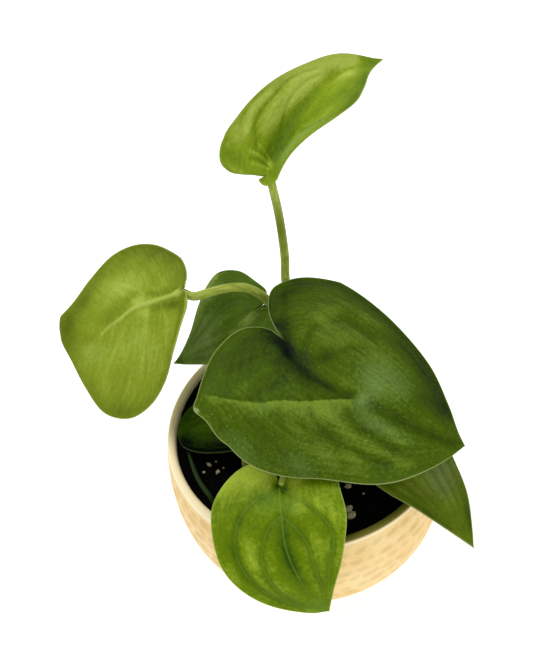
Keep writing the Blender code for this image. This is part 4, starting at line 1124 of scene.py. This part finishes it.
# grey is the colour of each leaf's painted sheen, and some greens darken towards the margin as painted shade.
# The low leaf's colours are painted dark for the shade it lies in.
FINISHES = {
    "leaf_big": dict(
        base=(72, 97, 0), light=(118, 145, 44), dark=(22, 40, 0), vein=(60, 84, 0), margin=(176, 188, 120),
        grey=(112, 140, 74), net=0.18, vein_amount=0.35, rib_amount=0.2, streaky=0.26, cloudy=0.18,
        mottled=0.24),
    "leaf_left": dict(
        base=(131, 150, 32), light=(170, 190, 76), dark=(82, 102, 0), vein=(174, 190, 92),
        margin=(190, 200, 120), grey=(150, 166, 80), margin_shade=0.35, comb=0.16, rib_amount=0.6, net=0.06,
        cloudy=0.2, streaky=0.18),
    "leaf_top": dict(
        base=(136, 160, 28), light=(190, 207, 88), dark=(68, 102, 0), vein=(110, 140, 20),
        margin=(150, 170, 50), grey=(146, 172, 92), margin_shade=0.25, vein_amount=0.35, rib_amount=0.1,
        net=0.08, cloudy=0.2, streaky=0.2),
    "leaf_front": dict(
        base=(105, 132, 0), light=(172, 195, 56), dark=(46, 78, 0), vein=(132, 168, 60),
        margin=(180, 196, 96), grey=(96, 138, 46), streaky=0.14, vein_amount=0.33, mottled=0.24),
    "leaf_back": dict(
        base=(76, 102, 8), light=(138, 162, 70), dark=(38, 60, 0), vein=(90, 112, 40), margin=(120, 140, 80),
        grey=(132, 156, 92), streaky=0.18),
    "leaf_right": dict(
        base=(106, 128, 20), light=(138, 158, 52), dark=(56, 76, 0), vein=(76, 98, 12), margin=(140, 156, 84),
        grey=(144, 162, 96), margin_shade=0.2, vein_amount=0.15, streaky=0.12, cloudy=0.34),
    "leaf_low": dict(
        base=(50, 76, 0), light=(68, 96, 8), dark=(0, 4, 0), vein=(34, 56, 0), margin=(50, 70, 24),
        gloss=0.02, streaky=0.15),
}
for name, piece in blades.items():
    piece.data.materials.append(leaf_finish(name + "_green", **FINISHES[name]))
print("greens:", len(FINISHES))

# %% [markdown]
# ## Stems and stalks
# A stalk is a round rod along a curve that thins a little towards its leaf. Short stems stand in holes in the
# soil, and their stalks leave them one above the other. The runner is a thin stem that lies along the wall,
# its green painted dark for the shade it lies in under the leaves.

# %% Paths of the stems and stalks
STEMS = {
    "stem_back": ([(0.4, 35.7, 50), (0.4, 35.7, 66), (0.4, 35.7, 73), (0.8, 35.2, 80), (0.9, 35.0, 83)],
                  [3.0, 3.0, 2.9, 2.2, 0.9]),
    "stem_front": ([(2.3, -7.8, 50), (2.3, -7.8, 66), (2.3, -7.8, 72), (2.9, -8.5, 80), (3.1, -8.7, 83)],
                   [3.2, 3.2, 3.1, 2.2, 0.9]),
    "stem_low": ([(-26, -17, 50), (-26, -17, 66), (-25.9, -16.6, 68), (-25.8, -16.3, 70)],
                 [1.9, 1.9, 1.8, 1.2]),
}
STALKS = {
    "leaf_top": ("stem_back", [(0.6, 36.6, 71), (-0.7, 40.6, 84), (-1.9, 45.3, 97), (-2.4, 46.7, 109),
                               (-1.8, 46.2, 121), (-2.0, 42.3, 138), (-2.7, 36.7, 156),
                               (-3.9, 31.9, 172)], 2.1, 1.6),
    "leaf_left": ("stem_back", [(-0.1, 35.9, 68), (-4.0, 36.6, 82), (-8.5, 38.0, 97), (-11.5, 38.2, 106),
                                (-16.9, 38.4, 112), (-22.5, 36.9, 116), (-28.7, 35.5, 117.1),
                                (-35.8, 34.3, 116.6), (-41.6, 34.6, 115.2)], 2.15, 1.85),
    "leaf_back": ("stem_back", [(0.2, 35.0, 65), (-8.0, 32.5, 79), (-14.5, 34.0, 90),
                                (-17.8, 36.2, 96.5)], 1.4, 1.1),
    "leaf_big": ("stem_front", [(2.0, -8.0, 70), (1.2, -5.5, 86), (-0.8, -1.5, 101),
                                (-3.0, 1.4, 112.5)], 2.1, 1.7),
    "leaf_front": ("stem_front", [(1.8, -9.0, 69), (-3.5, -19.0, 72.5), (-8.0, -28.0, 74.8),
                                  (-10.1, -33.2, 76.2)], 1.4, 1.1),
    "leaf_right": ("stem_front", [(2.6, -8.4, 70), (12.0, -13.0, 75.0), (23.0, -18.5, 80.5),
                                  (30.5, -22.6, 83.8)], 1.4, 1.1),
    "leaf_low": ("stem_low", [(-25.9, -16.6, 66.6), (-24.8, -12.5, 69.6), (-21.5, -7.5, 72.0),
                              (-19.0, -4.4, 73.0)], 1.3, 1.0),
}
RUNNER = [(-40.2, -33.6, 50.0), (-40.2, -33.6, 57.0), (-40.2, -33.6, 62.2), (-40.2, -33.6, 63.4),
          (-41.2, -32.1, 65.3), (-43.3, -28.9, 65.8), (-45.8, -24.2, 65.9), (-47.7, -19.1, 66.0),
          (-49.3, -13.5, 66.2), (-50.2, -10.3, 66.4)]
RUNNER_RADII = [1.1, 1.1, 1.1, 1.1, 1.1, 1.05, 1.0, 0.95, 0.8, 0.5]
PETIOLE = [(-9.3, -32.4, 77.0), (-10.2, -36.0, 80.8), (-11.0, -39.3, 80.9)]
print("stalks:", len(STALKS), "on", len(STEMS), "stems")

# %% Rods along curves
ROD_SIDES, DOME_ROWS = 20, 6
FOOT_DOME, END_DOME = 0.5, 0.4
STEM_ROWS, STALK_ROWS, RUNNER_ROWS = 24, 70, 60
BLADE_GAP, STALK_GAP = 0.5, 0.7
SHADE_PLACE, SHADE_REACH = 0.68, 0.13


def rod(points, radii, rows, shaded=False):
    """A profile carried along a curve: rings square to the curve, set against one fixed direction, with domed
    ends.
    """
    line = spline(points, rows)
    length = np.linalg.norm(np.diff(line, axis=0), axis=1).sum()
    run = np.linspace(0, 1, rows)
    radius = np.interp(run, np.linspace(0, 1, len(radii)), radii)
    ahead = unit_rows(np.gradient(line, axis=0))
    side = unit_rows(np.cross(ahead, (0.3, 1.0, 0.2)))
    other = np.cross(ahead, side)
    dome = np.linspace(0, 1, DOME_ROWS)
    start = line[0] - ahead[0] * radius[0] * FOOT_DOME * np.sqrt(1 - dome**2)[:, None]
    end = line[-1] + ahead[-1] * radius[-1] * END_DOME * np.sqrt(1 - dome[::-1]**2)[:, None]
    centre = np.vstack([start, line[1:-1], end])
    radius = np.r_[radius[0] * dome, radius[1:-1], radius[-1] * dome[::-1]]
    pick = np.r_[np.zeros(DOME_ROWS, int), np.arange(1, rows - 1), np.full(DOME_ROWS, rows - 1)]
    turn = np.arange(ROD_SIDES) * 2 * math.pi / ROD_SIDES
    x, y = np.cos(turn), np.sin(turn)
    ring = x[None, :, None] * side[pick][:, None] + y[None, :, None] * other[pick][:, None]
    way = np.linspace(0, 1, len(centre))
    shade = np.exp(-((way - SHADE_PLACE) / SHADE_REACH)**2) * float(shaded)
    values = {"mm": np.repeat(run[pick] * length, ROD_SIDES), "shade": np.repeat(shade, ROD_SIDES),
              "round_x": np.tile(x, len(centre)), "round_y": np.tile(y, len(centre))}
    return centre[:, None] + radius[:, None, None] * ring, values


def rod_piece(name, rods, node):
    """One piece of all the rods, with their values joined in the same order."""
    points, faces, first = [], [], 0
    for grid, _ in rods:
        points.append(grid.reshape(-1, 3))
        faces.append(grid_faces(*grid.shape[:2], wrap=True) + first)
        first += len(points[-1])
    values = {key: np.concatenate([one[key] for _, one in rods]) for key in rods[0][1]}
    piece = make_piece(name, np.vstack(points), np.vstack(faces), values=values)
    weld(piece)
    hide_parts(node)
    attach(piece, "root")
    return piece


def stalk(leaf_name, way, base, tip):
    """A stalk's rod, carried on to just under its blade; the top leaf's has a shaded stretch."""
    leaf = LEAVES[leaf_name]
    face = turn_matrix(leaf["heading"], leaf["pitch"], leaf["roll"])[:, 2]
    meet = tuple(np.array(leaf["at"]) - face * (BLADE_GAP + STALK_GAP * tip))
    if leaf_name == "leaf_front":
        way, meet = way[:-1] + PETIOLE[:-1], PETIOLE[-1]
    return rod(way + [meet], [base, tip], STALK_ROWS, shaded=leaf_name == "leaf_top")


stem_pieces = []
for stem_name, (path, radii) in STEMS.items():
    rods = [rod(path, radii, STEM_ROWS)]
    rods += [stalk(leaf_name, *rest) for leaf_name, (owner, *rest) in STALKS.items() if owner == stem_name]
    stem_pieces.append(rod_piece(stem_name + "_stalks", rods, stem_name))
runner = rod_piece("runner_stem", [rod(RUNNER, RUNNER_RADII, RUNNER_ROWS)], "runner")
print("rods:", [piece.name for piece in stem_pieces + [runner]])

# %% Stalk finish
LINES_ALONG = 0.06


def stalk_finish(name, base, light, dark):
    """Pale green with faint lines along the stalk and small dark flecks."""
    f = Finish(name, 0.5, gloss=0.1)
    skin = f.node("ShaderNodeCombineXYZ", {0: f.attribute("round_x"), 1: f.attribute("round_y"),
                                           2: f.times(f.attribute("mm"), LINES_ALONG)}).outputs[0]
    lines = f.noise(skin, 3.2, 3)
    colour = f.mix(f.ramp(lines, 0.3, 0.7), base, light)
    colour = f.wash(colour, "shade", 0.85, dark)
    colour = f.mix(f.ramp(f.noise(f.place(), 120, 2), 0.55, 0.75, 0.0, 0.5), colour, dark)
    return f.finish(colour, None, f.bump(lines, 0.0001, 0.6))


stalk_green = stalk_finish("stalk_green", srgb(138, 152, 52), srgb(178, 190, 88), srgb(106, 122, 24))
for piece in stem_pieces:
    piece.data.materials.append(stalk_green)
# Painted shade: the runner's green is dark for the shade it lies in.
dark_green = stalk_finish("runner_green", srgb(26, 46, 12), srgb(36, 58, 20), srgb(14, 28, 6))
runner.data.materials.append(dark_green)
print("stalk finishes:", stalk_green.name, dark_green.name)
